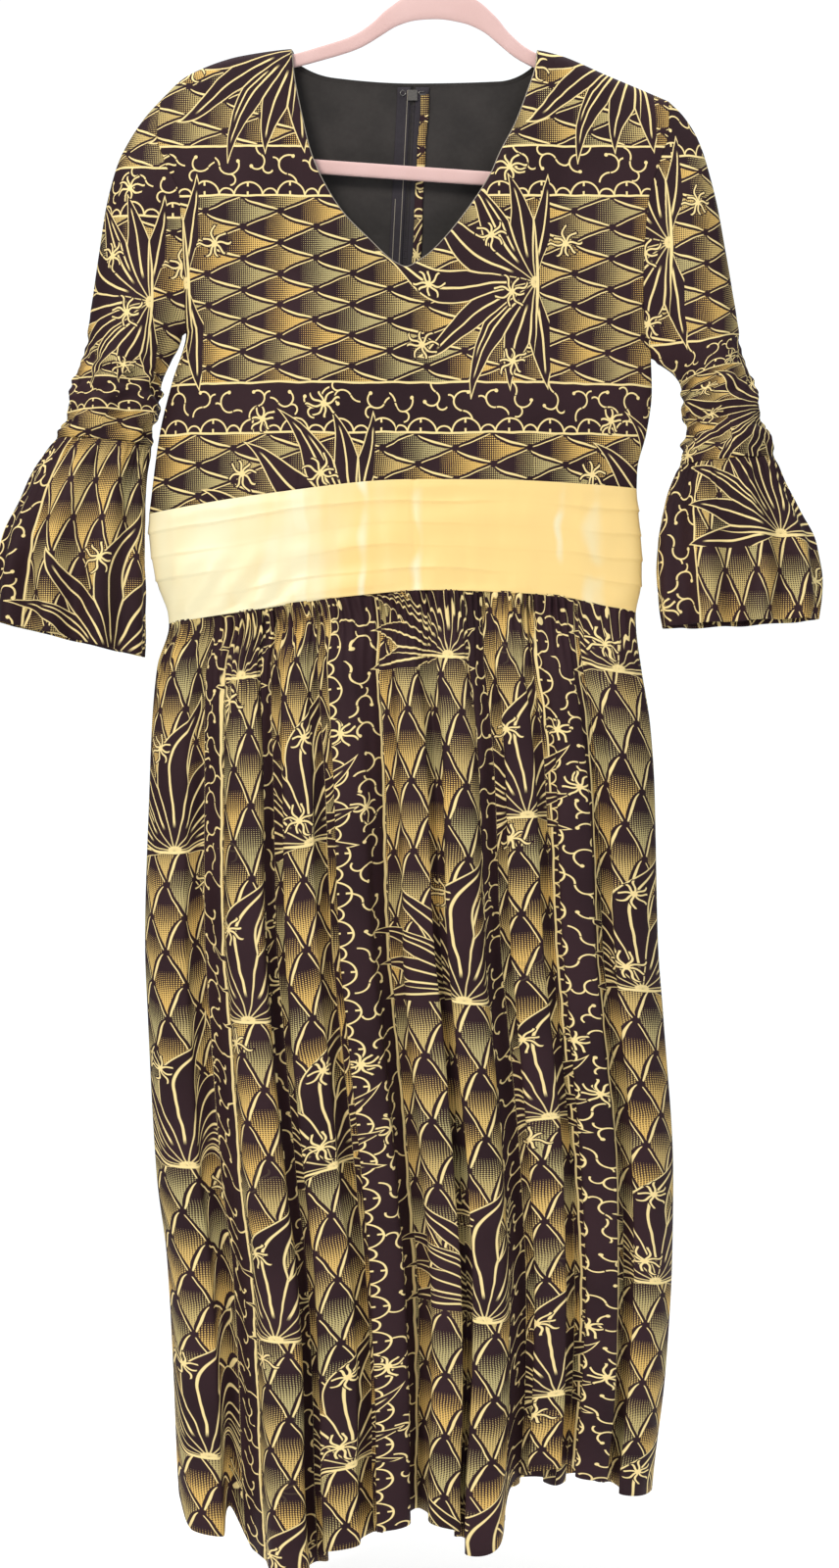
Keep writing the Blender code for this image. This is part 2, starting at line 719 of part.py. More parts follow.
def add_panels(group):
    """Every panel of the dress."""
    front = mirrored(HALF_COLUMNS)
    piece = bodice_grid(front, bodice_rows(), "front")
    cloth("bodice_front", piece, "print_cotton", group, outward=outward_of(piece))
    piece = band_grid(mirrored(BAND_HALF_COLUMNS), BAND_ROWS, "front")
    cloth("waistband_front", piece, "waistband_satin", group, outward=outward_of(piece))
    piece = skirt_grid(skirt_shares(), SKIRT_ROWS, "front")
    cloth("skirt_front", piece, "print_cotton", group, outward=outward_of(piece))
    skirt_half = skirt_shares()[skirt_shares() >= 0]
    for side in ("left", "right"):
        piece = bodice_grid(back_columns(HALF_COLUMNS, side), bodice_rows(), "back")
        cloth(f"bodice_back_{side}", piece, "print_cotton", group, outward=outward_of(piece))
        inner = lining_of(piece, side)
        cloth(f"lining_back_{side}", inner, "lining_cloth", group, LINING, outward=outward_of(inner))
        piece = band_grid(back_columns(BAND_HALF_COLUMNS, side), BAND_ROWS, "back")
        cloth(f"waistband_back_{side}", piece, "waistband_satin", group, outward=outward_of(piece))
        piece = skirt_grid(back_columns(skirt_half, side), SKIRT_ROWS, "back")
        cloth(f"skirt_back_{side}", piece, "print_cotton", group, outward=outward_of(piece))


def add_sleeves(group):
    """Both sleeves and their flounces."""
    sleeves = (
        ("left", LEFT_SIDE, LEFT_SLEEVE, LEFT_FLOUNCE),
        ("right", RIGHT_SIDE, RIGHT_SLEEVE, RIGHT_FLOUNCE),
    )
    for side, edge, sleeve, flounce in sleeves:
        points = tube_grid(
            sleeve,
            SLEEVE_COLUMNS,
            SLEEVE_GATHERS,
            SLEEVE_GATHER_HEIGHTS,
            lambda angle: armhole_ring(angle, edge, sleeve),
        )
        out = outward_of(points, True)
        cloth(f"sleeve_{side}", points, "print_cotton", group, closed=True, outward=out)
        points = tube_grid(flounce, FLOUNCE_COLUMNS, FLOUNCE_WAVES, FLOUNCE_WAVE_HEIGHTS)
        out = outward_of(points, True)
        cloth(f"flounce_{side}", points, "print_cotton", group, closed=True, outward=out)


def centre_back(z):
    """The centre back line: its x and its outer half depth at each height."""
    z = np.asarray(z, float)
    neck_x = read(BACK_TOP, "share", "x", 0.0)
    neck_z = read(BACK_TOP, "share", "z", 0.0)
    waist_z = read(WAIST_SAG, "share", "z", 0.0)
    band_z = read(SKIRT_SAG, "share", "z", 0.0)
    way = np.clip((neck_z - z) / (neck_z - waist_z), 0, 1)
    bodice_x = neck_x + way * (WAIST_CENTRE - neck_x)
    drop = np.maximum(neck_z - z, 0)
    bodice_y = bodice_depth(np.zeros_like(z), way, bodice_x, z, drop, "back")
    lower_x, lower_y = trunk_point(np.zeros_like(z), z, "back")
    row = np.clip((waist_z - z) / (waist_z - band_z), 0, 1)
    join = (1 - row) ** 2
    x = np.where(z > waist_z, bodice_x, lower_x + join * (WAIST_CENTRE - lower_x))
    y = np.where(z > waist_z, bodice_y, lower_y + join * (bodice_y - lower_y))
    return x, y


def strip_grid(across, heights, depth):
    """A strip inside the centre back, at a depth below the cloth's outer surface."""
    offset, z = np.meshgrid(np.array(across, float), np.array(heights, float))
    x, y = centre_back(z)
    below = centre_back(z - 1.0)[1]
    lean = np.hypot(1.0, below - y)
    return np.stack((x + offset, y - depth * lean, z), axis=-1)


def add_zip(group):
    """Tapes, chain, slider, pull tab and the printed seam allowance beside the zip."""
    under = CLOTH + LAYER_GAP
    levels = np.array((ZIP_TOP, *ZIP_STEPS, ZIP_END), float)
    for side, sign in (("left", -1), ("right", 1)):
        across = sorted((sign * TAPE_INNER, sign * (TAPE_INNER + TAPE_WIDTH)))
        piece = strip_grid(across, levels, under)
        cloth(f"zip_tape_{side}", piece, "zip_tape", group, TAPE, outward=outward_of(piece))
    chain = levels[levels < SLIDER_TOP - SLIDER_LENGTH - 1]
    piece = strip_grid((-CHAIN_HALF, CHAIN_HALF), chain, under)
    cloth("zip_chain", piece, "zip_tape", group, CHAIN_THICK, outward=outward_of(piece))
    inside = under + TAPE + LAYER_GAP
    piece = strip_grid((STRIP_INNER, STRIP_OUTER), STRIP_LEVELS, inside)
    cloth("seam_strip", piece, "print_cotton", group, STRIP_WALL, outward=outward_of(piece))


def box(name, low, high, group):
    """A box between two corners, in millimetres."""
    low = np.array(low, float)
    high = np.array(high, float)
    bpy.ops.mesh.primitive_cube_add(size=1)
    piece = bpy.context.object
    piece.name = name
    piece.data.name = name
    centre = (low + high) / 2
    size = high - low
    for vertex in piece.data.vertices:
        vertex.co = [MM * (centre[k] + vertex.co[k] * size[k]) for k in range(3)]
    for owner in list(piece.users_collection):
        owner.objects.unlink(piece)
    group.objects.link(piece)
    return piece


def join(target, piece):
    """Adds a hidden piece to the target with a Boolean union."""
    piece.hide_render = True
    piece.display_type = "WIRE"
    union = target.modifiers.new("join", "BOOLEAN")
    union.operation = "UNION"
    union.solver = "EXACT"
    union.object = piece


def add_slider(group, joined):
    """The zip's slider at the neck, with its bridge, and the pull tab on the bridge."""
    top = SLIDER_TOP
    low = SLIDER_TOP - SLIDER_LENGTH
    x, y_low = (float(value) for value in centre_back(low))
    y_top = float(centre_back(top)[1])
    face = y_low + LAYER_GAP
    back = face + SLIDER_PLATE
    inner = y_top - CLOTH - TAPE - 3 * LAYER_GAP
    slider = box("zip_slider", (x - SLIDER_HALF, face, low), (x + SLIDER_HALF, back, top), group)
    slider.data.materials.append(new_material("zip_slider", "zip_metal"))
    overlap = SLIDER_PLATE / 2
    window = 2 * (PIN_RADIUS + PIN_ROOM)
    reach = back + window + BRIDGE_BAR
    parts = (
        ((-SLIDER_WEB_HALF, inner - overlap, low), (SLIDER_WEB_HALF, face + overlap, top)),
        ((-SLIDER_HALF, inner - SLIDER_PLATE, low), (SLIDER_HALF, inner, top)),
        ((-BRIDGE_HALF, back - overlap, low + 0.5), (BRIDGE_HALF, reach, low + 0.5 + BRIDGE_POST)),
        ((-BRIDGE_HALF, back - overlap, top - 1.0 - BRIDGE_POST), (BRIDGE_HALF, reach, top - 1.0)),
        ((-BRIDGE_HALF, reach - BRIDGE_BAR, low + 1.0), (BRIDGE_HALF, reach, top - 1.5)),
    )
    for index, (one, other) in enumerate(parts):
        start = (x + one[0], *one[1:])
        end = (x + other[0], *other[1:])
        join(slider, box(f"slider_part_{index}", start, end, joined))
    axis_y = back + PIN_RADIUS + PIN_ROOM
    axis_z = low + 0.5 + BRIDGE_POST + PIN_RADIUS + PIN_ROOM
    add_pull(x, axis_y, axis_z, group, joined)


def add_pull(x, axis_y, axis_z, group, joined):
    """The pull tab: a pin through the bridge, two arms and a plate, leaning on the back."""
    hinge = bpy.data.objects.new("zip_pull_hinge", None)
    hinge.location = (x * MM, axis_y * MM, axis_z * MM)
    hinge.rotation_euler = (PULL_LEAN, 0, 0)
    group.objects.link(hinge)
    half = PULL_THICK / 2
    end = (-PULL_HALF, -half, -PULL_LENGTH)
    pull = box("zip_pull", end, (PULL_HALF, half, -PULL_START), group)
    pull.data.materials.append(new_material("zip_pull", "zip_metal"))
    pull.parent = hinge
    for sign in (-1, 1):
        edges = sorted((sign * PULL_HALF, sign * (PULL_HALF - PULL_ARM)))
        foot = (edges[0], -half, -PULL_START - 1)
        arm = box(f"pull_arm_{sign}", foot, (edges[1], half, half), joined)
        arm.parent = hinge
        join(pull, arm)
    bpy.ops.mesh.primitive_cylinder_add(
        vertices=12,
        radius=PIN_RADIUS * MM,
        depth=(2 * PULL_HALF - PULL_ARM) * MM,
        rotation=(0, pi / 2, 0),
    )
    pin = bpy.context.object
    pin.name = "pull_pin"
    for owner in list(pin.users_collection):
        owner.objects.unlink(pin)
    joined.objects.link(pin)
    pin.parent = hinge
    join(pull, pin)


def wire(name, path, radius, finish, group, cyclic=False):
    """A round wire along a path of points, in millimetres."""
    curve = bpy.data.curves.new(name, "CURVE")
    curve.dimensions = "3D"
    curve.bevel_depth = radius * MM
    curve.bevel_resolution = 2
    curve.use_fill_caps = not cyclic
    line = curve.splines.new("POLY")
    line.points.add(len(path) - 1)
    for point, place in zip(line.points, path):
        point.co = (place[0] * MM, place[1] * MM, place[2] * MM, 1)
    line.use_cyclic_u = cyclic
    piece = bpy.data.objects.new(name, curve)
    piece.data.materials.append(new_material(name, finish))
    group.objects.link(piece)
    return piece


def add_fasteners(group):
    """A wire eye and a wire hook at the top of the zip, on the inside."""
    x, y = (float(value) for value in centre_back(FASTENER_LEVEL))
    y = y - CLOTH - TAPE - 3 * LAYER_GAP - FASTENER_WIRE - 0.2
    z = FASTENER_LEVEL
    middle = x - FASTENER_OFFSET
    eye = []
    for turn in np.linspace(0, 2 * pi, 14, endpoint=False):
        eye.append((middle + EYE_RADIUS * cos(turn), y, z + EYE_RADIUS * sin(turn)))
    wire("neck_eye", eye, FASTENER_WIRE, "zip_metal", group, cyclic=True)
    bend = x + FASTENER_OFFSET - CLASP_REACH
    hook = [(bend + CLASP_LONG, y, z - CLASP_RADIUS)]
    for turn in np.linspace(-pi / 2, -3 * pi / 2, 9):
        hook.append((bend + CLASP_RADIUS * cos(turn), y, z + CLASP_RADIUS * sin(turn)))
    hook.append((bend + CLASP_SHORT, y, z + CLASP_RADIUS))
    wire("neck_hook", hook, FASTENER_WIRE, "zip_metal", group)


def spine_frame(spine):
    """Centre line points with their heights, smoothed, and unit normals across them."""
    x = column(spine, "x")
    z = column(spine, "z")
    steps = np.hypot(np.diff(x), np.diff(z))
    length = np.concatenate(((0,), np.cumsum(steps)))
    count = max(len(spine) * 2 - 3, 12)
    at = np.linspace(0, length[-1], count)
    points = np.stack((smooth(at, length, x), smooth(at, length, z)), axis=-1)
    tangent = np.gradient(points, axis=0)
    tangent[0] = (x[1] - x[0], z[1] - z[0])
    tangent[-1] = (x[-1] - x[-2], z[-1] - z[-2])
    tangent = tangent / np.linalg.norm(tangent, axis=-1, keepdims=True)
    normal = np.stack((-tangent[:, 1], tangent[:, 0]), axis=-1)
    return points, normal, smooth(at, length, column(spine, "height"))


def ribbon(spine):
    """Closed outline of a right half ribbon: its two long edges."""
    points, normal, height = spine_frame(spine)
    half = normal * height[:, None] / 2
    return points + half, points - half


def whole_outline(spine, from_middle):
    """Outline of both halves of a ribbon that crosses the middle once."""
    one, other = ribbon(spine)
    if not from_middle:
        one = one[::-1]
        other = other[::-1]
    mirror = np.array((-1, 1))
    one_side = np.concatenate((one[:0:-1] * mirror, one))
    other_side = np.concatenate((other[:0:-1] * mirror, other))
    return np.concatenate((one_side, other_side[::-1]))


def plate(name, outline, thick, finish, group, edge):
    """A flat outline standing in the XZ plane, as thick as given and round at its edges."""
    curve = bpy.data.curves.new(name, "CURVE")
    curve.dimensions = "2D"
    curve.fill_mode = "BOTH"
    curve.extrude = thick * MM / 2
    line = curve.splines.new("POLY")
    line.points.add(len(outline) - 1)
    for point, (x, z) in zip(line.points, outline):
        point.co = (x * MM, z * MM, 0, 1)
    line.use_cyclic_u = True
    flat = bpy.data.objects.new(f"{name}_outline", curve)
    group.objects.link(flat)
    bpy.context.view_layer.update()
    graph = bpy.context.evaluated_depsgraph_get()
    mesh = bpy.data.meshes.new_from_object(flat.evaluated_get(graph))
    bpy.data.objects.remove(flat)
    mesh.name = name
    form = bmesh.new()
    form.from_mesh(mesh)
    bmesh.ops.remove_doubles(form, verts=form.verts, dist=0.00001)
    bmesh.ops.rotate(form, verts=form.verts, matrix=Matrix.Rotation(pi / 2, 3, "X"))
    bmesh.ops.recalc_face_normals(form, faces=form.faces)
    form.to_mesh(mesh)
    form.free()
    piece = bpy.data.objects.new(name, mesh)
    piece.data.materials.append(new_material(name, finish))
    group.objects.link(piece)
    if edge:
        bevel = piece.modifiers.new("edge", "BEVEL")
        bevel.width = edge * MM
        bevel.segments = 1
        bevel.limit_method = "ANGLE"
        bevel.angle_limit = radians(50)
    return piece


def tilted(outline):
    """The outline turned about the top of the hump by the hanger's tilt."""
    x = outline[:, 0]
    z = outline[:, 1] - HUMP_TOP
    turned_x = x * cos(HANGER_TILT) + z * sin(HANGER_TILT)
    turned_z = HUMP_TOP - x * sin(HANGER_TILT) + z * cos(HANGER_TILT)
    return np.stack((turned_x, turned_z), axis=-1)


def add_hanger(group):
    """Flocked shoulders with the hump, the trouser bar and the steel hook."""
    arms = tilted(whole_outline(ARM_SPINE, True))
    plate("hanger_shoulders", arms, HANGER_THICK, "hanger_flock", group, 1.2)
    spine = [row._replace(z=row.z - HANGER_SPLIT) for row in BAR_SPINE]
    bar = tilted(whole_outline(spine, False))
    plate("hanger_bar", bar, HANGER_THICK, "hanger_flock", group, 1.2)
    around = HOOK_RADIUS + WIRE_RADIUS
    centre_z = WIRE_RADIUS - around
    path = [(0.0, 0.0, STEM_FOOT), (0.0, 0.0, STEM_TOP)]
    for turn in np.linspace(HOOK_START, HOOK_END, HOOK_STEPS):
        path.append((around * cos(turn), 0.0, centre_z + around * sin(turn)))
    wire("hanger_hook", path, WIRE_RADIUS, "hook_steel", group)


def main():
    """Clears the scene and models the dress and its hanger."""
    for thing in list(bpy.data.objects):
        bpy.data.objects.remove(thing)
    group = new_collection("ankara_dress")
    joined = new_collection("joined_shapes")
    add_panels(group)
    add_sleeves(group)
    add_zip(group)
    add_slider(group, joined)
    add_fasteners(group)
    add_hanger(group)


main()
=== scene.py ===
"""Ankara wax print dress on a slim flocked hanger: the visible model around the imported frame.

Blender 4.5. Metres, +Z up, the front faces -Y, left and right are the viewer's. The origin is
the inside top of the hanger's hook. Tables are in millimetres in the same frame.
"""

from collections import namedtuple
from math import cos, pi, radians, sin

import bpy
import numpy as np
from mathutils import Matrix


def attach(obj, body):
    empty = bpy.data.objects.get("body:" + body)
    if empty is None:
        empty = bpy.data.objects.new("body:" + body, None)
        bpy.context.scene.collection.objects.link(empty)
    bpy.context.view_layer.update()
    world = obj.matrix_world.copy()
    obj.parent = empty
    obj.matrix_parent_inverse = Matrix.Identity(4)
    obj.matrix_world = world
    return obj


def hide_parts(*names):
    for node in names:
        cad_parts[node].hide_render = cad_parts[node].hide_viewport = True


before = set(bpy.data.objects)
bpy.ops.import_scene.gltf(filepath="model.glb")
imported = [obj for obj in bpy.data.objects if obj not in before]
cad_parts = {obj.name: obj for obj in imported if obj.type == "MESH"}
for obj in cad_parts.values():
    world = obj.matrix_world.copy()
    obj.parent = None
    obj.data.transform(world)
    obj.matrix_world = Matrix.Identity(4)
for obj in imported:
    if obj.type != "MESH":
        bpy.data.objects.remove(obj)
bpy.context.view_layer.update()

bl_info = {
    "name": "Ankara dress on a hanger",
    "version": (1, 0, 0),
    "blender": (4, 5, 0),
    "location": "3D View > Sidebar > Dress",
    "description": "Builds a wax print dress with a satin waistband on a flocked hanger",
    "category": "Add Mesh",
}

MM = 0.001

TopEdge = namedtuple("TopEdge", "share x z")
SideEdge = namedtuple("SideEdge", "way x z")
Level = namedtuple("Level", "z front back")
Sag = namedtuple("Sag", "share z")
Width = namedtuple("Width", "z left right")
Ring = namedtuple("Ring", "outer_x outer_z inner_x inner_z half_depth")
Fold = namedtuple("Fold", "top hem height")
Spine = namedtuple("Spine", "x z height")
Dart = namedtuple("Dart", "x low high slope")
Run = namedtuple("Run", "start x cloth")
Ray = namedtuple("Ray", "x width")
Sleeve = namedtuple("Sleeve", "name edge rings taken_up print_shift")


def table(kind, rows):
    """Rows of numbers as named rows of one kind."""
    return tuple(kind(*row) for row in rows)


# Shape of the hanging bodice: powers, shares of its width, and lengths
SECTION_POWER = 2.5
BLEND_POWER = 4.0
SHOULDER_ROLL = 10.0
ARMHOLE_DEPTH = 15.0
ARMHOLE_SHARE = 0.6
NECK_SHARE = 0.52
NECK_POWER = 0.33
NECK_DEPTH = {"front": 15.5, "back": 8.0}
BUST_FULLNESS = 5.0
BUST_SPREAD = 95.0
BUST_LEVEL = -395.0
WAIST_CENTRE = -42.4
WAIST_HALF = 206.4
BODICE_LENGTH = 350.0
SEAM_GAP = 0.3

# Start of the print on the crosswise panels, up and across
PRINT_START = (1990.5, 679.7)

# Walls of the cloths, in metres
SATIN_WALL = 0.0008
LINING_WALL = 0.0004
TAPE_WALL = 0.0007
COIL_WALL = 0.0012
STRIP_WALL = 0.0005

# Teeth, sides of a bar's section, floor and camera
TOOTH_PITCH = 1.5
BAR_SIDES = 28
FLOOR_RADIUS = 1700.0
FLOOR_LEVEL = -1450.0
SENSOR_HEIGHT = 36.0
CAMERA_FOCUS = 2410
PHOTO_HEIGHT = 1600

# Edges, depths and outline, by share of the width, way down or height
LEFT_SHOULDER = table(TopEdge, (
    (-1.00, -238.2, -147.0), (-0.86, -216.6, -127.5), (-0.70, -171.8, -110.5),
    (-0.52, -128.7, -104.5),
))
RIGHT_SHOULDER = table(TopEdge, (
    (0.52, 80.5, -105.5), (0.60, 97.9, -109.5), (0.78, 139.4, -127.0), (1.00, 190.9, -148.7),
))
FRONT_TOP = LEFT_SHOULDER + table(TopEdge, (
    (-0.49, -126.6, -124.0), (-0.42, -118.7, -165.4), (-0.355, -110.4, -198.0),
    (-0.24, -87.2, -241.8), (-0.14, -63.1, -267.5), (-0.05, -39.8, -288.3), (-0.012, -31.0, -291.6),
    (0.035, -17.5, -284.5), (0.08, -7.5, -276.6), (0.27, 39.8, -213.6), (0.32, 48.1, -194.5),
    (0.38, 60.6, -170.4), (0.445, 71.4, -142.2), (0.49, 78.4, -120.0),
)) + RIGHT_SHOULDER
BACK_TOP = LEFT_SHOULDER + table(TopEdge, (
    (-0.49, -124.0, -115.0), (-0.33, -93.0, -127.0), (0.0, -25.0, -131.5), (0.33, 48.0, -130.0),
    (0.49, 77.0, -117.5),
)) + RIGHT_SHOULDER
LEFT_SIDE = table(SideEdge, (
    (0.0, -238.2, -147.0), (0.10, -241.5, -178.7), (0.18, -234.1, -203.6), (0.27, -221.6, -232.6),
    (0.50, -218.3, -311.5), (0.60, -217.5, -344.7), (0.70, -229.1, -385.4), (0.83, -239.9, -430.2),
    (1.0, -248.8, -498.3),
))
RIGHT_SIDE = table(SideEdge, (
    (0.0, 190.9, -148.7), (0.08, 190.2, -175.4), (0.16, 181.8, -204.4), (0.25, 172.6, -236.0),
    (0.43, 168.5, -303.2), (0.53, 169.5, -339.7), (0.60, 176.0, -366.3), (0.71, 176.8, -394.5),
    (0.83, 172.6, -427.7), (0.94, 164.5, -460.9), (1.0, 164.0, -476.7),
))
DEPTHS = table(Level, (
    (-104.0, 8.5, 8.5), (-131.0, 11.0, 10.0), (-160.0, 14.0, 12.5), (-200.0, 17.0, 15.0),
    (-300.0, 21.5, 18.5), (-400.0, 24.0, 21.5), (-500.0, 26.0, 25.0), (-585.0, 30.0, 29.0),
    (-640.0, 38.0, 36.0), (-760.0, 46.0, 44.0), (-950.0, 50.0, 49.0), (-1375.0, 56.0, 55.0),
))
WAIST_SAG = table(Sag, (
    (-1.0, -498.3), (-0.51, -483.3), (0.08, -471.7), (0.37, -471.7), (1.0, -476.7),
))
SKIRT_SAG = table(Sag, (
    (-1.0, -591.0), (-0.57, -579.6), (-0.2, -569.6), (0.12, -564.7), (0.5, -567.1), (0.72, -571.3),
    (0.87, -578.6), (1.0, -581.5),
))
FRONT_HEM = table(Sag, (
    (-1.0, -1324.0), (-0.92, -1350.0), (-0.83, -1352.8), (-0.76, -1330.0), (-0.70, -1368.0),
    (-0.51, -1375.0), (-0.41, -1372.0), (-0.33, -1356.0), (-0.16, -1345.0), (0.02, -1329.5),
    (0.11, -1334.0), (0.27, -1357.0), (0.36, -1334.0), (0.42, -1304.0), (0.55, -1291.0),
    (0.72, -1302.0), (0.93, -1320.6), (1.0, -1322.0),
))
BACK_HEM = table(Sag, (
    (-1.0, -1324.0), (-0.8, -1338.0), (-0.3, -1330.0), (0.25, -1334.0), (0.7, -1326.0),
    (1.0, -1322.0),
))
OUTLINE = table(Width, (
    (-476.0, -248.6, 163.9), (-498.3, -248.8, 166.5), (-530.0, -244.5, 168.0),
    (-558.8, -239.0, 167.0), (-583.0, -232.4, 163.2), (-592.0, -232.0, 163.4),
    (-627.0, -242.0, 167.7), (-677.0, -246.5, 175.5), (-727.0, -248.5, 179.0),
    (-860.0, -252.3, 182.0), (-926.0, -249.8, 186.8), (-1058.5, -242.4, 195.0),
    (-1125.0, -234.0, 194.2), (-1224.0, -228.3, 188.4), (-1307.0, -224.9, 178.5),
    (-1376.0, -220.0, 172.6),
))

# Crests and valleys in turn, and how their depth grows down the skirt
FRONT_FOLDS = table(Fold, (
    (-1.0, -1.0, 0.5), (-0.93, -0.90, 0.75), (-0.80, -0.72, 0.0), (-0.64, -0.52, 1.0),
    (-0.54, -0.41, 0.30), (-0.45, -0.31, 0.85), (-0.36, -0.17, 0.35), (-0.27, -0.09, 0.75),
    (-0.10, 0.01, 0.0), (0.01, 0.13, 0.85), (0.10, 0.20, 0.50), (0.20, 0.28, 1.0),
    (0.33, 0.43, 0.20), (0.43, 0.52, 0.65), (0.53, 0.62, 0.25), (0.64, 0.72, 0.70),
    (0.74, 0.81, 0.30), (0.87, 0.91, 0.85), (1.0, 1.0, 0.5),
))
BACK_FOLDS = table(Fold, (
    (0.0, 0.0, 0.5), (0.10, 0.11, 0.75), (0.19, 0.21, 0.15), (0.29, 0.31, 0.95), (0.39, 0.41, 0.25),
    (0.48, 0.50, 0.80), (0.57, 0.60, 0.10), (0.67, 0.70, 0.95), (0.77, 0.79, 0.30),
    (0.88, 0.89, 0.80), (1.0, 1.0, 0.5),
))
FOLD_GROWTH = ((0.0, 1.0), (0.03, 3.5), (0.08, 7.0), (0.18, 10.5), (0.35, 13.5), (1.0, 16.5))

# Flattened rings down each arm. The print's places on the sleeves are in metres
LEFT_SLEEVE = table(Ring, (
    (-239.0, -147.6, -218.3, -344.9, 15.0), (-250.5, -160.0, -220.6, -347.0, 18.0),
    (-265.0, -180.0, -221.6, -350.0, 22.0), (-276.5, -204.0, -222.8, -353.0, 25.0),
    (-284.0, -236.0, -224.2, -356.2, 26.0), (-290.0, -270.0, -226.3, -360.0, 27.0),
    (-295.0, -308.0, -230.0, -365.5, 27.0), (-299.5, -343.0, -234.0, -374.0, 27.0),
    (-305.5, -369.0, -237.5, -386.0, 28.0), (-313.0, -394.0, -240.6, -402.0, 30.0),
    (-320.5, -417.0, -243.8, -421.0, 29.0), (-326.8, -434.5, -246.8, -441.0, 27.0),
))
RIGHT_SLEEVE = table(Ring, (
    (191.7, -149.3, 176.9, -366.6, 15.0), (203.5, -161.0, 179.6, -368.0, 18.0),
    (216.0, -180.0, 182.0, -369.5, 22.0), (224.5, -205.0, 185.0, -371.0, 25.0),
    (231.5, -237.0, 188.2, -373.0, 26.0), (238.5, -272.0, 192.0, -375.5, 27.0),
    (244.5, -310.0, 196.5, -379.5, 27.0), (249.8, -346.0, 200.5, -387.0, 27.0),
    (257.0, -376.0, 203.0, -398.0, 28.0), (266.0, -402.0, 204.6, -414.0, 30.0),
    (273.5, -427.0, 205.0, -434.0, 29.0), (280.3, -450.5, 200.8, -457.0, 27.0),
))
LEFT_FLOUNCE = table(Ring, (
    (-327.0, -434.6, -246.9, -441.1, 27.0), (-344.5, -459.0, -250.8, -470.0, 30.0),
    (-361.0, -491.0, -251.8, -505.0, 33.0), (-373.0, -522.0, -252.2, -540.0, 36.0),
    (-380.0, -555.0, -252.2, -580.0, 38.0), (-381.5, -588.0, -252.2, -619.0, 40.0),
))
RIGHT_FLOUNCE = table(Ring, (
    (280.4, -450.6, 200.7, -457.1, 27.0), (292.0, -477.0, 190.5, -480.0, 30.0),
    (305.5, -500.0, 184.5, -501.0, 33.0), (315.5, -527.0, 181.2, -528.0, 36.0),
    (320.3, -556.0, 181.8, -560.0, 38.0), (317.5, -587.0, 185.5, -594.0, 40.0),
))
SLEEVES = table(Sleeve, (
    ("sleeve_left", LEFT_SIDE, LEFT_SLEEVE, (0.045, 0.0), (0.018, -0.024)),
    ("sleeve_right", RIGHT_SIDE, RIGHT_SLEEVE, (0.090, 0.055), (-0.034, 0.110)),
))
FLOUNCE_WAVES = 9
FLOUNCE_HEIGHTS = (1.0, 3.8, 5.8, 7.5, 9.0, 10.0)

# Middle line and height of the hanger's two bars, from the middle out
ARM_SPINE = table(Spine, (
    (0.0, -67.0, 24.0), (20.0, -69.5, 23.0), (40.0, -79.5, 17.0), (54.0, -91.5, 13.0),
    (70.0, -103.0, 12.0), (98.0, -114.5, 11.5), (129.0, -125.0, 11.0), (165.0, -133.5, 11.0),
    (188.0, -143.0, 11.0), (200.0, -151.5, 11.0), (204.0, -159.0, 11.0), (204.0, -166.0, 11.0),
))
BAR_SPINE = table(Spine, (
    (204.0, -166.0, 11.0), (204.0, -178.0, 11.0), (198.0, -197.0, 11.5), (184.0, -208.0, 12.0),
    (165.0, -210.5, 12.0), (0.0, -210.5, 12.0),
))

# Each panel's part, side and half
PANELS = (
    ("front", "front", "whole"), ("back_left", "back", "left"), ("back_right", "back", "right"),
)
DARTS = table(Dart, ((-120.4, -480.0, -405.0, 0.02), (75.5, -476.0, -424.0, -0.03)))

# The share of the skirt's cloth that shows. At each crease: phase, x seen and place on the cloth
SHOWN = 0.72
SKIRT_RUNS = (
    table(Run, (
        (-0.5, -211.6, 85.0), (1.0, -187.0, 176.0), (1.5, -148.0, 285.0), (2.5, -131.0, 370.0),
        (3.0, -87.0, 485.0), (5.0, -73.0, 545.0), (7.0, -30.0, 608.0), (9.0, 28.0, 685.0),
        (10.45, 38.0, 768.0), (11.0, 88.0, 885.0), (13.0, 104.0, 954.0), (15.0, 176.0, 1085.0),
    )),
    table(Run, (
        (-9.0, -215.0, 85.0), (-7.5, -190.0, 176.0), (-6.7, -160.0, 285.0),
        (-5.5, -125.0, 365.0), (-3.5, -80.0, 485.0), (-1.5, -30.0, 560.0),
    )),
    table(Run, (
        (0.0, 10.0, 1285.0), (1.5, 50.0, 1365.0), (3.5, 85.0, 1485.0), (5.5, 130.0, 1560.0),
        (7.5, 180.0, 1685.0),
    )),
)

# Painted sheen streaks down the satin, where light glances off it, in metres
SATIN_SHEEN_RAYS = table(Ray, (
    (-0.146, 0.007), (-0.118, 0.005), (-0.066, 0.004), (-0.021, 0.006), (0.098, 0.005),
    (0.128, 0.011),
))

# Hanger, hook and zip
HANGER_TILT = radians(4.0)
HUMP_TOP = -55.0
HOOK_RADIUS = 18.0
WIRE_RADIUS = 1.9
ZIP_TOP = -134.5
ZIP_END = -664.0


# ---- Sizes and colours that a user may change


def colour_prop(name, description, value):
    """A colour that a user may change, in linear red, green and blue."""
    return bpy.props.FloatVectorProperty(
        name=name, description=description, subtype="COLOR", size=3, min=0, max=1, default=value
    )


def length_prop(name, description, value):
    """A length that a user may change, in metres."""
    return bpy.props.FloatProperty(
        name=name, description=description, default=value, min=0, unit="LENGTH", subtype="DISTANCE"
    )


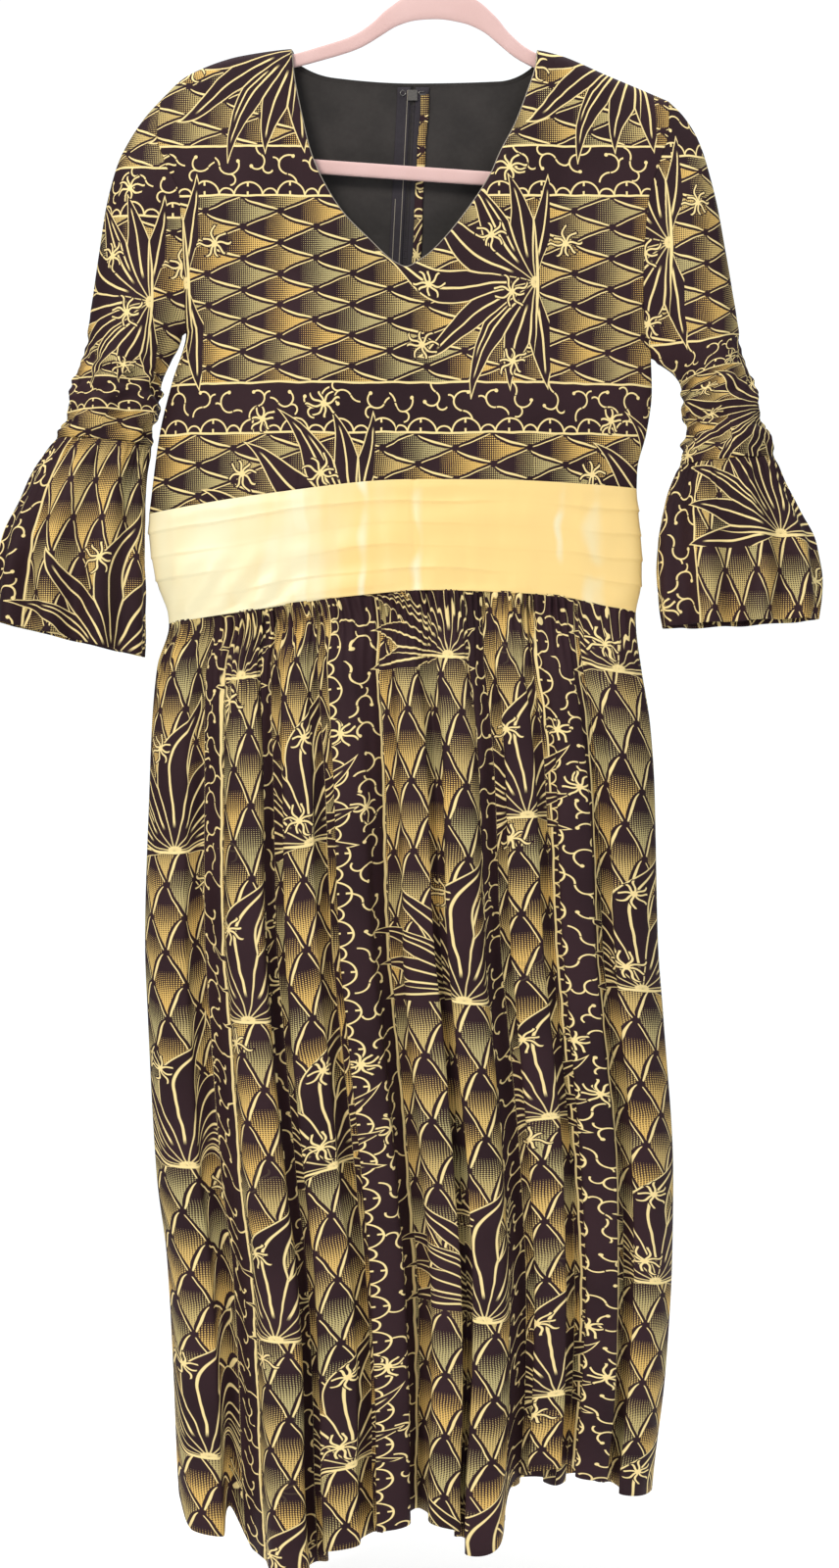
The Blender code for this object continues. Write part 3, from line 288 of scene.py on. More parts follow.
class DressColours(bpy.types.PropertyGroup):
    """Dyes and finishes of the dress and its hanger, and the painted sheen colour of the waistband.
    """

    ground: colour_prop("Ground", "Dark ground of the print", (0.024, 0.011, 0.014))
    line: colour_prop("Line", "Cream lines of the print", (0.95, 0.76, 0.36))
    gold: colour_prop("Gold", "Warm tint of the scales", (0.80, 0.52, 0.155))
    olive: colour_prop("Olive", "Cool tint of the scales", (0.52, 0.44, 0.205))
    satin_warm: colour_prop("Warm satin", "Waistband towards the right", (0.97, 0.70, 0.27))
    # Painted sheen: this pale satin colour stands for light glancing off the waistband, towards the
    # left and in streaks down it
    satin_pale: colour_prop("Pale satin", "Waistband towards the left", (0.92, 0.84, 0.55))
    lining: colour_prop("Lining", "Charcoal lining", (0.022, 0.019, 0.018))
    tape: colour_prop("Tape", "Zip tape", (0.022, 0.018, 0.024))
    thread: colour_prop("Thread", "Pale stitch lines beside the zip", (0.30, 0.27, 0.22))
    metal: colour_prop("Metal", "Zip metal", (0.20, 0.19, 0.18))
    flock: colour_prop("Flock", "Hanger's flocked skin", (0.80, 0.56, 0.54))
    steel: colour_prop("Steel", "Hanger's hook", (0.72, 0.72, 0.74))


class DressSizes(bpy.types.PropertyGroup):
    """Cloth, print and gather sizes."""

    wall: length_prop("Cloth", "Thickness of the printed cotton", 0.0006)
    pitch: length_prop("Print pitch", "Width of one repeat of the print", 0.200)
    run: length_prop("Print run", "Height of one repeat of the print", 0.300)
    block: length_prop("Scale block", "Width of the block of scales", 0.158)
    scale: length_prop("Scale", "Height of one printed scale", 0.063)
    gather: length_prop("Gathers", "Height of the fine gathers under the waistband", 0.0021)
    ruche: length_prop("Ruching", "Height of the ruching above each flounce", 0.0042)
    tuck: length_prop("Tucks", "Height of the waistband's tucks", 0.0012)


# ---- Curves and surfaces


def smooth(at, knots, values):
    """Monotone cubic through a table's points: it never swings past them."""
    knots = np.asarray(knots, float)
    values = np.asarray(values, float)
    step = np.diff(knots)
    slope = np.diff(values) / step
    both = slope[:-1] * slope[1:]
    total = slope[:-1] + slope[1:]
    inner = np.where(both > 0, 2 * both / np.where(total == 0, 1, total), 0)
    tangent = np.concatenate((slope[:1], inner, slope[-1:]))
    at = np.clip(np.asarray(at, float), knots[0], knots[-1])
    cell = np.clip(np.searchsorted(knots, at, side="right") - 1, 0, len(knots) - 2)
    t = (at - knots[cell]) / step[cell]
    start = values[cell] * (1 + 2 * t) + tangent[cell] * step[cell] * t
    end = values[cell + 1] * (3 - 2 * t) + tangent[cell + 1] * step[cell] * (t - 1)
    return start * (1 - t) ** 2 + end * t * t


def column(table, name):
    """One named column of a table."""
    return np.array([getattr(row, name) for row in table], float)


def read(table, key, name, at):
    """A column of a table as a smooth function of its key column."""
    keys = column(table, key)
    values = column(table, name)
    if keys[0] > keys[-1]:
        keys = keys[::-1]
        values = values[::-1]
    return smooth(at, keys, values)


def ease(low, high, at):
    """Smooth step from 0 at low to 1 at high."""
    t = np.clip((np.asarray(at, float) - low) / (high - low), 0, 1)
    return t * t * (3 - 2 * t)


def crumple(u, v, seed):
    """Value noise: random numbers on a unit lattice, blended smoothly between, from -1 to 1."""
    table = np.random.default_rng(seed).uniform(-1, 1, (64, 64))
    i, j = np.floor(u).astype(int), np.floor(v).astype(int)
    s, t = ease(0, 1, u - i), ease(0, 1, v - j)
    low = table[i % 64, j % 64] * (1 - s) + table[(i + 1) % 64, j % 64] * s
    high = table[i % 64, (j + 1) % 64] * (1 - s) + table[(i + 1) % 64, (j + 1) % 64] * s
    return low * (1 - t) + high * t


def section(share):
    """Depth of a hanging section across its width: the rest of a superellipse."""
    return np.sqrt(np.clip(1 - np.abs(share) ** SECTION_POWER, 0, 1))


def least(a, b):
    """A rounded minimum of two lengths."""
    a = np.maximum(a, 1e-6)
    b = np.maximum(b, 1e-6)
    return (a ** -BLEND_POWER + b ** -BLEND_POWER) ** (-1 / BLEND_POWER)


def bodice_depth(share, way, x, z, drop, side):
    """Half depth of the bodice: its section's depth, held down to the shoulder's roll on top."""
    inside = np.clip(1 - (share / NECK_SHARE) ** 2, 0, 1)
    along = np.clip(way / ARMHOLE_SHARE, 0, 1)
    edge = ARMHOLE_DEPTH * 2 * np.sqrt(along * (1 - along))
    full = read(DEPTHS, "z", side, z)
    if side == "front":
        centre = x - smooth(z, (-500, -130), (WAIST_CENTRE, -25))
        spread = np.exp(-((np.abs(centre) - BUST_SPREAD) / 55) ** 2)
        full = full + BUST_FULLNESS * spread * np.exp(-((z - BUST_LEVEL) / 60) ** 2)
    body = SEAM_GAP + edge + np.maximum(full - edge, 0) * section(share)
    wrap = SEAM_GAP + NECK_DEPTH[side] * inside ** NECK_POWER + np.sqrt(SHOULDER_ROLL * drop)
    return least(body, wrap)


def bodice_points(shares, ways, side):
    """Bodice: straight columns from top edge to waist, bent near a side by its armhole and seam."""
    share, way = np.meshgrid(shares, ways)
    top = FRONT_TOP if side == "front" else BACK_TOP
    top_x = read(top, "share", "x", share)
    top_z = read(top, "share", "z", share)
    x = top_x + way * (WAIST_CENTRE + WAIST_HALF * share - top_x)
    z = top_z + way * (read(WAIST_SAG, "share", "z", share) - top_z)
    for table, sign in ((LEFT_SIDE, -1), (RIGHT_SIDE, 1)):
        weight = np.clip(sign * share, 0, 1) ** 2
        start, end = table[0], table[-1]
        x = x + weight * (read(table, "way", "x", way) - start.x - way * (end.x - start.x))
        z = z + weight * (read(table, "way", "z", way) - start.z - way * (end.z - start.z))
    y = bodice_depth(share, way, x, z, np.maximum(top_z - z, 0), side)
    return np.stack((x, -y if side == "front" else y, z), axis=-1), share, way


def trunk_point(share, z, side):
    """Waistband and skirt without folds: outline times share, superellipse depth."""
    left = read(OUTLINE, "z", "left", z)
    right = read(OUTLINE, "z", "right", z)
    x = (left + right) / 2 + share * (right - left) / 2
    return x, SEAM_GAP + read(DEPTHS, "z", side, z) * section(share)


def band_points(shares, rows, side):
    """Waistband between the bodice's seam and the skirt's."""
    share, row = np.meshgrid(shares, rows)
    top = read(WAIST_SAG, "share", "z", share)
    low = read(SKIRT_SAG, "share", "z", share)
    z = top + row * (low - top)
    x, y = trunk_point(share, z, side)
    waist_x = WAIST_CENTRE + WAIST_HALF * share
    waist_y = bodice_depth(share, np.ones_like(z), waist_x, z, BODICE_LENGTH, side)
    join = (1 - row) ** 2
    x = x + join * (waist_x - x)
    y = y + join * (waist_y - y)
    return np.stack((x, -y if side == "front" else y, z), axis=-1), share, row


def grid_normals(points, closed=False):
    """Unit normals of a grid: the cross product of the steps across and down."""
    down = np.gradient(points, axis=0)
    across = (
        (np.roll(points, -1, axis=1) - np.roll(points, 1, axis=1)) / 2
        if closed
        else np.gradient(points, axis=1)
    )
    normal = np.cross(across, down)
    return normal / np.maximum(np.linalg.norm(normal, axis=-1, keepdims=True), 1e-9)


def arc(values):
    """Running length along the columns of a grid."""
    step = np.linalg.norm(np.diff(values, axis=1), axis=-1)
    return np.concatenate((np.zeros((len(values), 1)), np.cumsum(step, axis=1)), axis=1)


# ---- Meshes


def grid_mesh(name, points, cloth, closed=False, outward=1):
    """A grid of quads in millimetres, with a UV map of its flat cloth in metres.

    A closed grid wraps round its last column; its cloth array has one column more.
    """
    rows, columns = points.shape[:2]
    steps = columns if closed else columns - 1
    row, col = np.meshgrid(np.arange(rows - 1), np.arange(steps), indexing="ij")
    corners = ((row, col), (row + 1, col), (row + 1, col + 1), (row, col + 1))
    faces = np.stack([r * columns + c % columns for r, c in corners], axis=-1).reshape(-1, 4)
    places = np.stack([cloth[r, c] for r, c in corners], axis=-2).reshape(-1, 4, 2)
    if outward < 0:
        faces = faces[:, ::-1]
        places = places[:, ::-1]
    mesh = bpy.data.meshes.new(name)
    mesh.from_pydata((points.reshape(-1, 3) * MM).tolist(), [], faces.tolist())
    layer = mesh.uv_layers.new(name="cloth")
    layer.data.foreach_set("uv", places.reshape(-1))
    mesh.shade_smooth()
    return mesh


def facing(points, away, closed=False):
    """1 where a grid's faces already point away from the given points, otherwise -1."""
    return -1 if np.mean(grid_normals(points, closed) * (points - away)) > 0 else 1


def add_piece(name, mesh, finish, nodes=()):
    """Puts a mesh in the scene as a piece that rides on the dress and replaces its CAD nodes."""
    piece = bpy.data.objects.new(name, mesh)
    piece.data.materials.append(bpy.data.materials[finish])
    bpy.context.scene.collection.objects.link(piece)
    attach(piece, "dress")
    if nodes:
        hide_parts(*nodes)
    return piece


def cap_ends(points, path):
    """Closes a tube with flat caps: its path's two ends, each repeated round."""
    ends = np.repeat(path[[0, -1], None], points.shape[1], 1)
    return np.concatenate((ends[:1], points, ends[1:]))


def tube_points(path, radius, sides):
    """Round tube: circles of the radius on the path, square to it."""
    tangent = np.gradient(path, axis=0)
    tangent = tangent / np.linalg.norm(tangent, axis=-1, keepdims=True)
    guide = np.array((0.0, 1.0, 0.0))
    first = np.cross(tangent, guide)
    first = first / np.maximum(np.linalg.norm(first, axis=-1, keepdims=True), 1e-6)
    second = np.cross(tangent, first)
    angle = np.linspace(0, 2 * pi, sides, endpoint=False)[None, :, None]
    circle = np.cos(angle) * first[:, None] + np.sin(angle) * second[:, None]
    return path[:, None] + radius * circle


def add_tube(name, path, radius, finish, sides, nodes=()):
    """A closed round tube along a path in millimetres, with flat caps."""
    points = cap_ends(tube_points(path, radius, sides), path)
    length = np.linspace(0, len(path) * 2 * MM, len(points))
    around = np.linspace(0, 2 * pi * radius * MM, sides + 1)
    cloth = np.stack(np.meshgrid(around, length), axis=-1)
    away = np.concatenate((path[:1], path, path[-1:]))[:, None]
    mesh = grid_mesh(name, points, cloth, True, facing(points, away, True))
    return add_piece(name, mesh, finish, nodes)


# ---- Shader arithmetic


def join(value, socket):
    """Gives a socket another node's value, or a number or colour of its own."""
    if isinstance(value, Sum):
        socket.id_data.links.new(value.socket, socket)
    else:
        socket.default_value = value


def add_node(tree, kind, values=(), **settings):
    """A node of one kind with its settings, and values for its inputs by name or number."""
    node = tree.nodes.new("ShaderNode" + kind)
    for name, value in settings.items():
        setattr(node, name, value)
    for key, value in dict(values).items():
        join(value, node.inputs[key])
    return node


class Sum:
    """A value in a shader, so that a pattern's formula can be written as plain arithmetic."""

    def __init__(self, socket):
        self.socket = socket
        self.tree = socket.id_data

    def math(self, kind, *others):
        """A Math node of one kind on this number and others."""
        values = enumerate((self, *others))
        return Sum(add_node(self.tree, "Math", values, operation=kind).outputs[0])

    def __add__(self, other):
        return self.math("ADD", other)

    def __sub__(self, other):
        return self.math("SUBTRACT", other)

    def __rsub__(self, other):
        return self.math("MULTIPLY", -1).math("ADD", other)

    def __mul__(self, other):
        return self.math("MULTIPLY", other)

    def __truediv__(self, other):
        return self.math("DIVIDE", other)

    def __pow__(self, other):
        return self.math("POWER", other)

    def __abs__(self):
        return self.math("ABSOLUTE")

    def __or__(self, other):
        """The larger of two, so two masks together."""
        return self.math("MAXIMUM", other)

    def floor(self):
        """The whole number below."""
        return self.math("FLOOR")

    def wrap(self, span):
        """The remainder from 0 to span."""
        return self.math("FLOORED_MODULO", span)

    def step(self, low, high):
        """Smooth step from 0 at low to 1 at high."""
        down = float(low > high)
        values = {
            "Value": self, "From Min": min(low, high), "From Max": max(low, high),
            "To Min": down, "To Max": 1.0 - down,
        }
        node = add_node(self.tree, "MapRange", values, interpolation_type="SMOOTHSTEP")
        return Sum(node.outputs["Result"])


def hypot(a, b):
    """Length of the two sides' diagonal."""
    return (a * a + b * b).math("SQRT")


def stroke(distance):
    """A drawn line where a distance is near nothing."""
    return abs(distance).step(0.85, 0.50)


def pick(where, yes, no):
    """Yes where the mask is 1, no where it is 0."""
    return (yes - no) * where + no


def mix_colour(amount, low, high):
    """A colour between two, by an amount from 0 to 1."""
    node = add_node(amount.tree, "Mix", {0: amount}, data_type="RGBA")
    for name, value in (("A", low), ("B", high)):
        socket = [s for s in node.inputs if s.name == name and s.type == "RGBA"][0]
        join(value if isinstance(value, Sum) else (*value, 1.0), socket)
    return Sum([s for s in node.outputs if s.type == "RGBA"][0])


def new_group(name, inputs, outputs):
    """A shader node group. Returns its tree, its inputs in order and its outputs' sockets."""
    kinds = {"Cloth": "NodeSocketVector", "Color": "NodeSocketColor"}
    tree = bpy.data.node_groups.new(name, "ShaderNodeTree")
    for way, labels in (("INPUT", inputs), ("OUTPUT", outputs)):
        for label in labels:
            kind = kinds.get(label, "NodeSocketFloat")
            socket = tree.interface.new_socket(name=label, in_out=way, socket_type=kind)
            if way == "INPUT" and label not in kinds:
                socket.default_value = inputs[label]
    enter, leave = tree.nodes.new("NodeGroupInput"), tree.nodes.new("NodeGroupOutput")
    return tree, [Sum(enter.outputs[label]) for label in inputs], leave.inputs


def call(tree, group, **values):
    """Places a node group with values for its inputs. Returns its outputs by name."""
    node = add_node(tree, "Group", values, node_tree=group)
    return {socket.name: Sum(socket) for socket in node.outputs}


def split(vector):
    """X and Y of a vector in metres, as two numbers in millimetres."""
    node = add_node(vector.tree, "SeparateXYZ", {0: vector})
    return Sum(node.outputs[0]) * 1000, Sum(node.outputs[1]) * 1000


def dice(x, y):
    """Three random numbers from 0 to 1 for each pair of whole numbers."""
    place = Sum(add_node(x.tree, "CombineXYZ", {0: x, 1: y}).outputs[0])
    noise = add_node(x.tree, "TexWhiteNoise", {"Vector": place}, noise_dimensions="3D")
    parts = add_node(x.tree, "SeparateColor", {0: Sum(noise.outputs["Color"])})
    return [Sum(socket) for socket in parts.outputs]


def cloud(vector, scale, detail=2.0):
    """A Noise Texture's value at a scale."""
    values = {"Scale": scale, "Detail": detail, "Vector": vector}
    return Sum(add_node(vector.tree, "TexNoise", values).outputs["Fac"])


# ---- The wax print, in millimetres on the flat cloth


def scales_group():
    """Pointed scales in a brick lattice: a pale arch line, dark top, halftone, light foot.

    Each half row holds the upper halves of one set of scales, whose half width shrinks as a
    power of the way up, and the lower halves of the set between them.
    """
    tree, (across, up, width, height), leave = new_group(
        "print_scales", {"Across": 0.0, "Up": 0.0, "Width": 26.33, "Height": 63.0},
        ("Line", "Dark", "Tint"),
    )
    half_row = up / height * 2
    row = half_row.floor()
    t = half_row - row
    place = across / width - row.wrap(2.0) * 0.5
    near = (place + 0.5).floor()
    lean = place - near
    d = abs(lean)
    bulge = lean.step(0.02, -0.02)
    w = (1 - t) ** (0.86 - bulge * 0.42) * 0.5
    inside = (w - d).step(-0.005, 0.005)
    edge = (w - d) * width * 0.90
    pen = (t * pi).math("SINE") * (bulge * 0.9 + 0.10) + 0.80
    line = edge.step(0.30, 0.65) * (edge - pen).step(0.55, 0.15)
    rim = edge.step(-1.75, -1.35) * edge.step(0.65, 0.30)
    knot_low = hypot((0.5 - d) * width * 0.45, t * height * 0.20).step(1.7, 1.1)
    knot_high = hypot(d * width * 0.45, (1 - t) * height * 0.20).step(1.7, 1.1)
    knot = knot_low | knot_high
    dots = pi / 1.75
    screen = ((across + up) * dots).math("SINE") * ((across - up) * dots).math("SINE")
    rise = t * 0.5 + inside * 0.5
    tone = rise * 2.5 - 1.08 + rise.step(0.66, 0.80) * 0.4
    halftone = (tone + screen * 0.85).step(-0.16, 0.16)
    clear = line * (1 - knot)
    upper = inside.math("GREATER_THAN", 0.5)
    middle = pick(upper, near, place.floor() + 0.5) * 2 + row.wrap(2.0)
    join(clear, leave["Line"])
    join((halftone | rim | knot) * (1 - clear), leave["Dark"])
    join(dice(middle.math("ROUND"), row + 1 - upper)[0], leave["Tint"])
    return tree


def scroll_group():
    """Arches along one border of a strip, large and small in turn, and hooked curls beside them.

    Each arch is half a ring with a tick inside. Each curl is three quarters of a ring that ends
    in a dot, with a tail of a quarter ring, turned by its own angle.
    """
    tree, (across, up, half), leave = new_group(
        "print_scroll", {"Across": 0.0, "Up": 0.0, "Half": 21.0}, ("Line",)
    )
    period, high, bent, hooked = 36.0, 25.0, 8.5, 4.5
    edge = across + half
    rung = up.wrap(period) - period / 2
    large, small = hypot(edge, rung), hypot(edge, abs(rung) - period / 2)
    arch = stroke(large - 11.8) | stroke(small - 6.0)
    tick = abs(abs(edge - 5.9) - 4.0).step(2.0, 1.6) * abs(rung - 0.8).step(1.0, 0.65)
    row = (up / high).floor()
    luck = dice(row, row * 0 + 3)
    x = across - 6.5 + (luck[2] - 0.5) * 3
    y = up - (row + 0.5) * high + (luck[0] - 0.5) * 3
    turn = luck[0] * (2 * pi)
    flip = (luck[1] - 0.5).math("SIGN")
    a = (x * turn.math("COSINE") + y * turn.math("SINE")) * flip
    b = y * turn.math("COSINE") - x * turn.math("SINE")
    radius = luck[2] * 2.0 + 6.4
    ring = stroke(hypot(a, b) - radius) * (1 - (a - b * 0.25).step(0.6, 1.4))
    dot = hypot(a - 2.6, b - radius + 0.7).step(1.75, 1.35)
    fall = b + radius + bent
    tail = stroke(hypot(a, fall) - bent) * a.step(-0.4, 0.4) * fall.step(-0.3, 0.3)
    hook = stroke(hypot(a + radius + hooked, b) - hooked) * b.step(-0.3, 0.3)
    curl = (ring | dot | tail | hook) * large.step(12.0, 12.6) * small.step(6.2, 6.8)
    join(curl | arch | tick, leave["Line"])
    return tree


def fan_group():
    """Fan of nine leaves round a foot: each point turns into its own leaf's frame.

    A leaf's half width is the smaller of a wedge from the foot and a long pointed tip.
    """
    tree, (x, y), leave = new_group("print_fan", {"Across": 0.0, "Up": 0.0}, ("Line", "Leaf"))
    spread = radians(23.0)
    r = hypot(x, y)
    plain = x.math("ARCTAN2", y)
    angle = plain / (r * 0.0013 + 1) + (r * 0.033 + plain * 2.6).math("SINE") * r * 0.0012
    index = ((angle / spread + 0.5).floor() | -4.0).math("MINIMUM", 4.0)
    own = angle - index * spread
    s = r * own.math("COSINE")
    t = r * own.math("SINE")
    order = abs(index)
    reach = 140 - order * 12 - order.wrap(2.0) * 8
    share = s / reach | 0.0
    half = (s * 0.209).math("MINIMUM", (1 - share ** 2.2) * 14.5)
    edge = half - abs(t)
    inside = edge.step(-0.25, 0.25)
    pen = share.step(0.05, 0.5) * 0.55 + 0.48
    outline = (edge - pen).step(0.3, -0.3)
    rib = (abs(t) - (1 - share) * 0.45 - 0.15).step(0.6, 0.2) * share.step(0.86, 0.80)
    vein = (abs(t - half * 0.50) - 0.25).step(0.6, 0.25) * share.step(0.72, 0.64)
    vein = vein * abs(order - 2).step(0.6, 0.4) * s.step(30, 36)
    base = (abs(y + 1.6 - x * x * 0.0011) + abs(x) * 0.022).step(1.7, 1.2)
    foot = hypot(x * 0.8, y * 1.2 - 1).step(4.6, 3.6)
    drawn = (outline | rib * s.step(20, 27) | vein) * inside
    join(drawn | base | foot, leave["Line"])
    join(inside | base, leave["Leaf"])
    return tree


def spider_group():
    """Small flowers of eight thin curling legs, each with its own bend and length."""
    tree, (x, y, turn, size), leave = new_group(
        "print_spider", {"Across": 0.0, "Up": 0.0, "Turn": 0.0, "Size": 14.0}, ("Line", "Halo")
    )
    legs = 8.0
    r = hypot(x, y)
    leg = (x.math("ARCTAN2", y) + turn * 6.28) * (legs / (2 * pi))
    index = (leg + 0.5).floor()
    luck = dice(index.wrap(legs), (turn * 50).floor())
    bend = (r * 0.36 + luck[0] * 6.3).math("SINE") * 0.24
    off = abs(leg - index + bend) * r * (2 * pi / legs)
    past = r - size * (luck[1] * 0.4 + 0.72)
    join(off.step(1.0, 0.65) * past.step(0.4, -0.4) | r.step(2.9, 2.3), leave["Line"])
    join(off.step(2.1, 1.7) * past.step(1.5, 0.9) | r.step(4.0, 3.4), leave["Halo"])
    return tree


def print_drop(col, run):
    """How far a column of the print is dropped: half a repeat in turn, more from the ninth on."""
    return col.wrap(2.0) * (run / 2) + col.step(8.4, 8.6) * (run * 0.808)


def print_group(sizes, colours):
    """The whole wax print on flat cloth.

    Blocks of scales and strips of scroll stand side by side and are dropped from column to
    column. Fans lie over both, and spider flowers round the fans.
    """
    tree, (cloth,), leave = new_group("wax_print", {"Cloth": None}, ("Color", "Ink"))
    pitch, run, block = sizes.pitch / MM, sizes.run / MM, sizes.block / MM
    wobble = cloud(cloth, 42.0, 1.0) * 3.0 - 1.5
    u, v = split(cloth)
    u = u + wobble
    v = v + wobble * 0.6
    col = (u / pitch).floor()
    a = u - col * pitch
    b = v + print_drop(col, run)
    scales = call(
        tree, scales_group(), Across=a, Up=b, Width=block / 6, Height=sizes.scale / MM
    )
    scroll = call(
        tree, scroll_group(), Across=a - (block + pitch) / 2, Up=b, Half=(pitch - block) / 2
    )
    border = abs(a - block).step(1.1, 0.7) | a.step(1.1, 0.7) | (a - pitch).step(-1.1, -0.7)
    on_block = (a - block).step(0.3, -0.3)
    lead, foot, under = 15.0, 85.0, 12.0
    fan_col = ((u + lead) / pitch).floor()
    fan_x = u - fan_col * pitch - foot
    fan_y = (v + print_drop(fan_col, run) + under).wrap(run) - under
    fan = call(tree, fan_group(), Across=fan_x, Up=fan_y)
    cell_w, cell_h = pitch / 4, run / 5
    cell_x, cell_y = (a / cell_w).floor(), (b.wrap(run) / cell_h).floor()
    luck = dice(cell_x + 7, cell_y + col.wrap(3.0) * 5)
    more = dice(cell_y + 2, cell_x + 3 + col.wrap(3.0) * 4)
    spider = call(
        tree, spider_group(),
        Across=a - (cell_x + 0.5) * cell_w - (luck[0] - 0.5) * 18,
        Up=b.wrap(run) - (cell_y + 0.5) * cell_h - (luck[1] - 0.5) * 24,
        Turn=more[0], Size=more[1] * 3 + 12.5,
    )
    shown = (luck[2] - cell_y.step(1.6, 1.4) * 0.42).step(0.19, 0.17)
    halo, web = spider["Halo"] * shown, spider["Line"] * shown
    line = pick(on_block, scales["Line"], scroll["Line"]) | border
    line = pick(halo, web, pick(fan["Leaf"], fan["Line"], line))
    dark = pick(on_block, scales["Dark"], 1.0) | fan["Leaf"] | halo
    drift = cloud(cloth, 9.0, 2.0)
    tint = (scales["Tint"] * 0.75 + drift * 0.9 - 0.30).step(0.1, 0.9)
    pale = mix_colour(tint, colours.olive, colours.gold)
    ground = mix_colour(drift.step(0.3, 0.7), colours.ground, [c * 1.5 for c in colours.ground])
    colour = mix_colour(dark.math("MINIMUM", 1.0), pale, ground)
    join(mix_colour(line.math("MINIMUM", 1.0), colour, colours.line), leave["Color"])
    join(dark * (1 - line), leave["Ink"])
    return tree


# ---- Finishes


def weave_group():
    """Plain weave: threads of sine waves along and across the cloth, offset by turns."""
    tree, (cloth, thread), leave = new_group(
        "plain_weave", {"Cloth": None, "Thread": 0.45}, ("Height", "Slub")
    )
    u, v = split(cloth)
    warp, weft = (u / thread * pi).math("SINE"), (v / thread * pi).math("SINE")
    slub = cloud(cloth, 260.0, 3.0)
    height = pick((warp * weft).step(-0.4, 0.4), abs(warp), abs(weft))
    join(height + slub * 0.5, leave["Height"])
    join(slub, leave["Slub"])
    return tree


def new_material(name, roughness, metallic=0.0):
    """A Principled material. Returns its tree and its shader's inputs."""
    material = bpy.data.materials.new(name)
    material.use_nodes = True
    shader = material.node_tree.nodes["Principled BSDF"].inputs
    join(roughness, shader["Roughness"])
    join(metallic, shader["Metallic"])
    return material.node_tree, shader


def cloth_map(tree):
    """The piece's own flat cloth, in metres."""
    return Sum(add_node(tree, "UVMap", uv_map="cloth").outputs["UV"])


def object_place(tree):
    """The piece's Object coordinates."""
    return Sum(add_node(tree, "TexCoord").outputs["Object"])


def woven(tree, **values):
    """Places the plain weave."""
    return call(tree, bpy.data.node_groups["plain_weave"], **values)


def bump(shader, height, strength, distance):
    """Feeds a height to the shader's normal."""
    values = {"Strength": strength, "Distance": distance, "Height": height}
    join(Sum(add_node(height.tree, "Bump", values).outputs["Normal"]), shader["Normal"])


def print_material():
    """Printed cotton: the wax print with a plain weave."""
    scene = bpy.context.scene
    tree, shader = new_material("waxed_cotton", 0.72)
    join(0.12, shader["Specular IOR Level"])
    place = cloth_map(tree)
    wax = call(tree, print_group(scene.dress_sizes, scene.dress_colours), Cloth=place)
    weave = woven(tree, Cloth=place)
    join(wax["Color"], shader["Base Color"])
    join(wax["Ink"] * -0.1 + weave["Slub"] * 0.2 + 0.66, shader["Roughness"])
    bump(shader, weave["Height"], 0.25, 0.0002)


def satin_material():
    """Waistband satin: warm at the right, with painted sheen that makes it pale at the left and in
    soft streaks down it.
    """
    colours = bpy.context.scene.dress_colours
    tree, shader = new_material("band_satin", 0.42)
    join(0.15, shader["Sheen Weight"])
    place = object_place(tree)
    x = Sum(add_node(tree, "SeparateXYZ", {0: place}).outputs[0])
    stretch = Sum(add_node(tree, "Mapping", {
        "Vector": place, "Scale": (1.0, 1.0, 0.16), "Rotation": (0.0, 0.0, 0.6),
        "Location": (0.31, 0.17, 0.05),
    }).outputs[0])
    # Painted sheen: stretched noise streaks and a paler left side stand for light glancing off the
    # satin
    sheen_streak, fine = cloud(stretch, 38.0, 2.0), cloud(stretch, 11.0, 1.0)
    patch = cloud(place, 26.0, 1.0)
    warm = x.step(-0.21, 0.02) * 0.80 + sheen_streak * 0.9 - 0.55 + fine * 0.6 - patch * 0.2
    # Each ray paints a narrow pale sheen streak down the satin
    for ray in SATIN_SHEEN_RAYS:
        pale = abs(x + (patch - 0.5) * 0.020 - ray.x).step(ray.width * 1.6, 0.0)
        warm = warm - pale * patch.step(0.36, 0.62) * 0.6
    # Low values of warm give the painted sheen colour, high values the satin's own warm colour
    colour = mix_colour(warm.step(0.0, 0.8), colours.satin_pale, colours.satin_warm)
    weave = woven(tree, Cloth=cloth_map(tree), Thread=0.28)
    join(colour, shader["Base Color"])
    join(weave["Slub"] * 0.22 + 0.30, shader["Roughness"])
    bump(shader, weave["Height"], 0.12, 0.0001)


def plain_cloth(name, colour, thread, spread=1.35):
    """Plain woven cloth of one colour, with uneven threads."""
    tree, shader = new_material(name, 0.85)
    place = cloth_map(tree)
    weave = woven(tree, Cloth=place, Thread=thread)
    worn = cloud(place, 30.0, 3.0).step(0.25, 0.75)
    join(mix_colour(worn, colour, [c * spread for c in colour]), shader["Base Color"])
    join(weave["Slub"] * 0.2 + 0.75, shader["Roughness"])
    bump(shader, weave["Height"], 0.35, 0.0002)


def flock_material():
    """Flocked skin: short dense fibres, so a fine grain and a soft sheen."""
    colour = bpy.context.scene.dress_colours.flock
    tree, shader = new_material("velvet_flock", 0.95)
    join(0.35, shader["Sheen Weight"])
    place = object_place(tree)
    fibre, patch = cloud(place, 2600.0, 2.0), cloud(place, 24.0, 2.0)
    deep = [c * k for c, k in zip(colour, (0.86, 0.80, 0.78))]
    shade = (fibre * 0.6 + patch * 0.5).step(0.2, 0.9)
    join(mix_colour(shade, deep, colour), shader["Base Color"])
    join(fibre * 0.1 + 0.88, shader["Roughness"])
    bump(shader, fibre, 0.5, 0.0003)


def metal_material(name, colour, rough):
    """Plated metal with faint brushing."""
    tree, shader = new_material(name, rough, 1.0)
    brush = cloud(object_place(tree), 900.0, 3.0)
    shade = mix_colour(brush.step(0.3, 0.7), [c * 0.85 for c in colour], colour)
    join(shade, shader["Base Color"])
    join(brush * 0.2 + (rough - 0.1), shader["Roughness"])


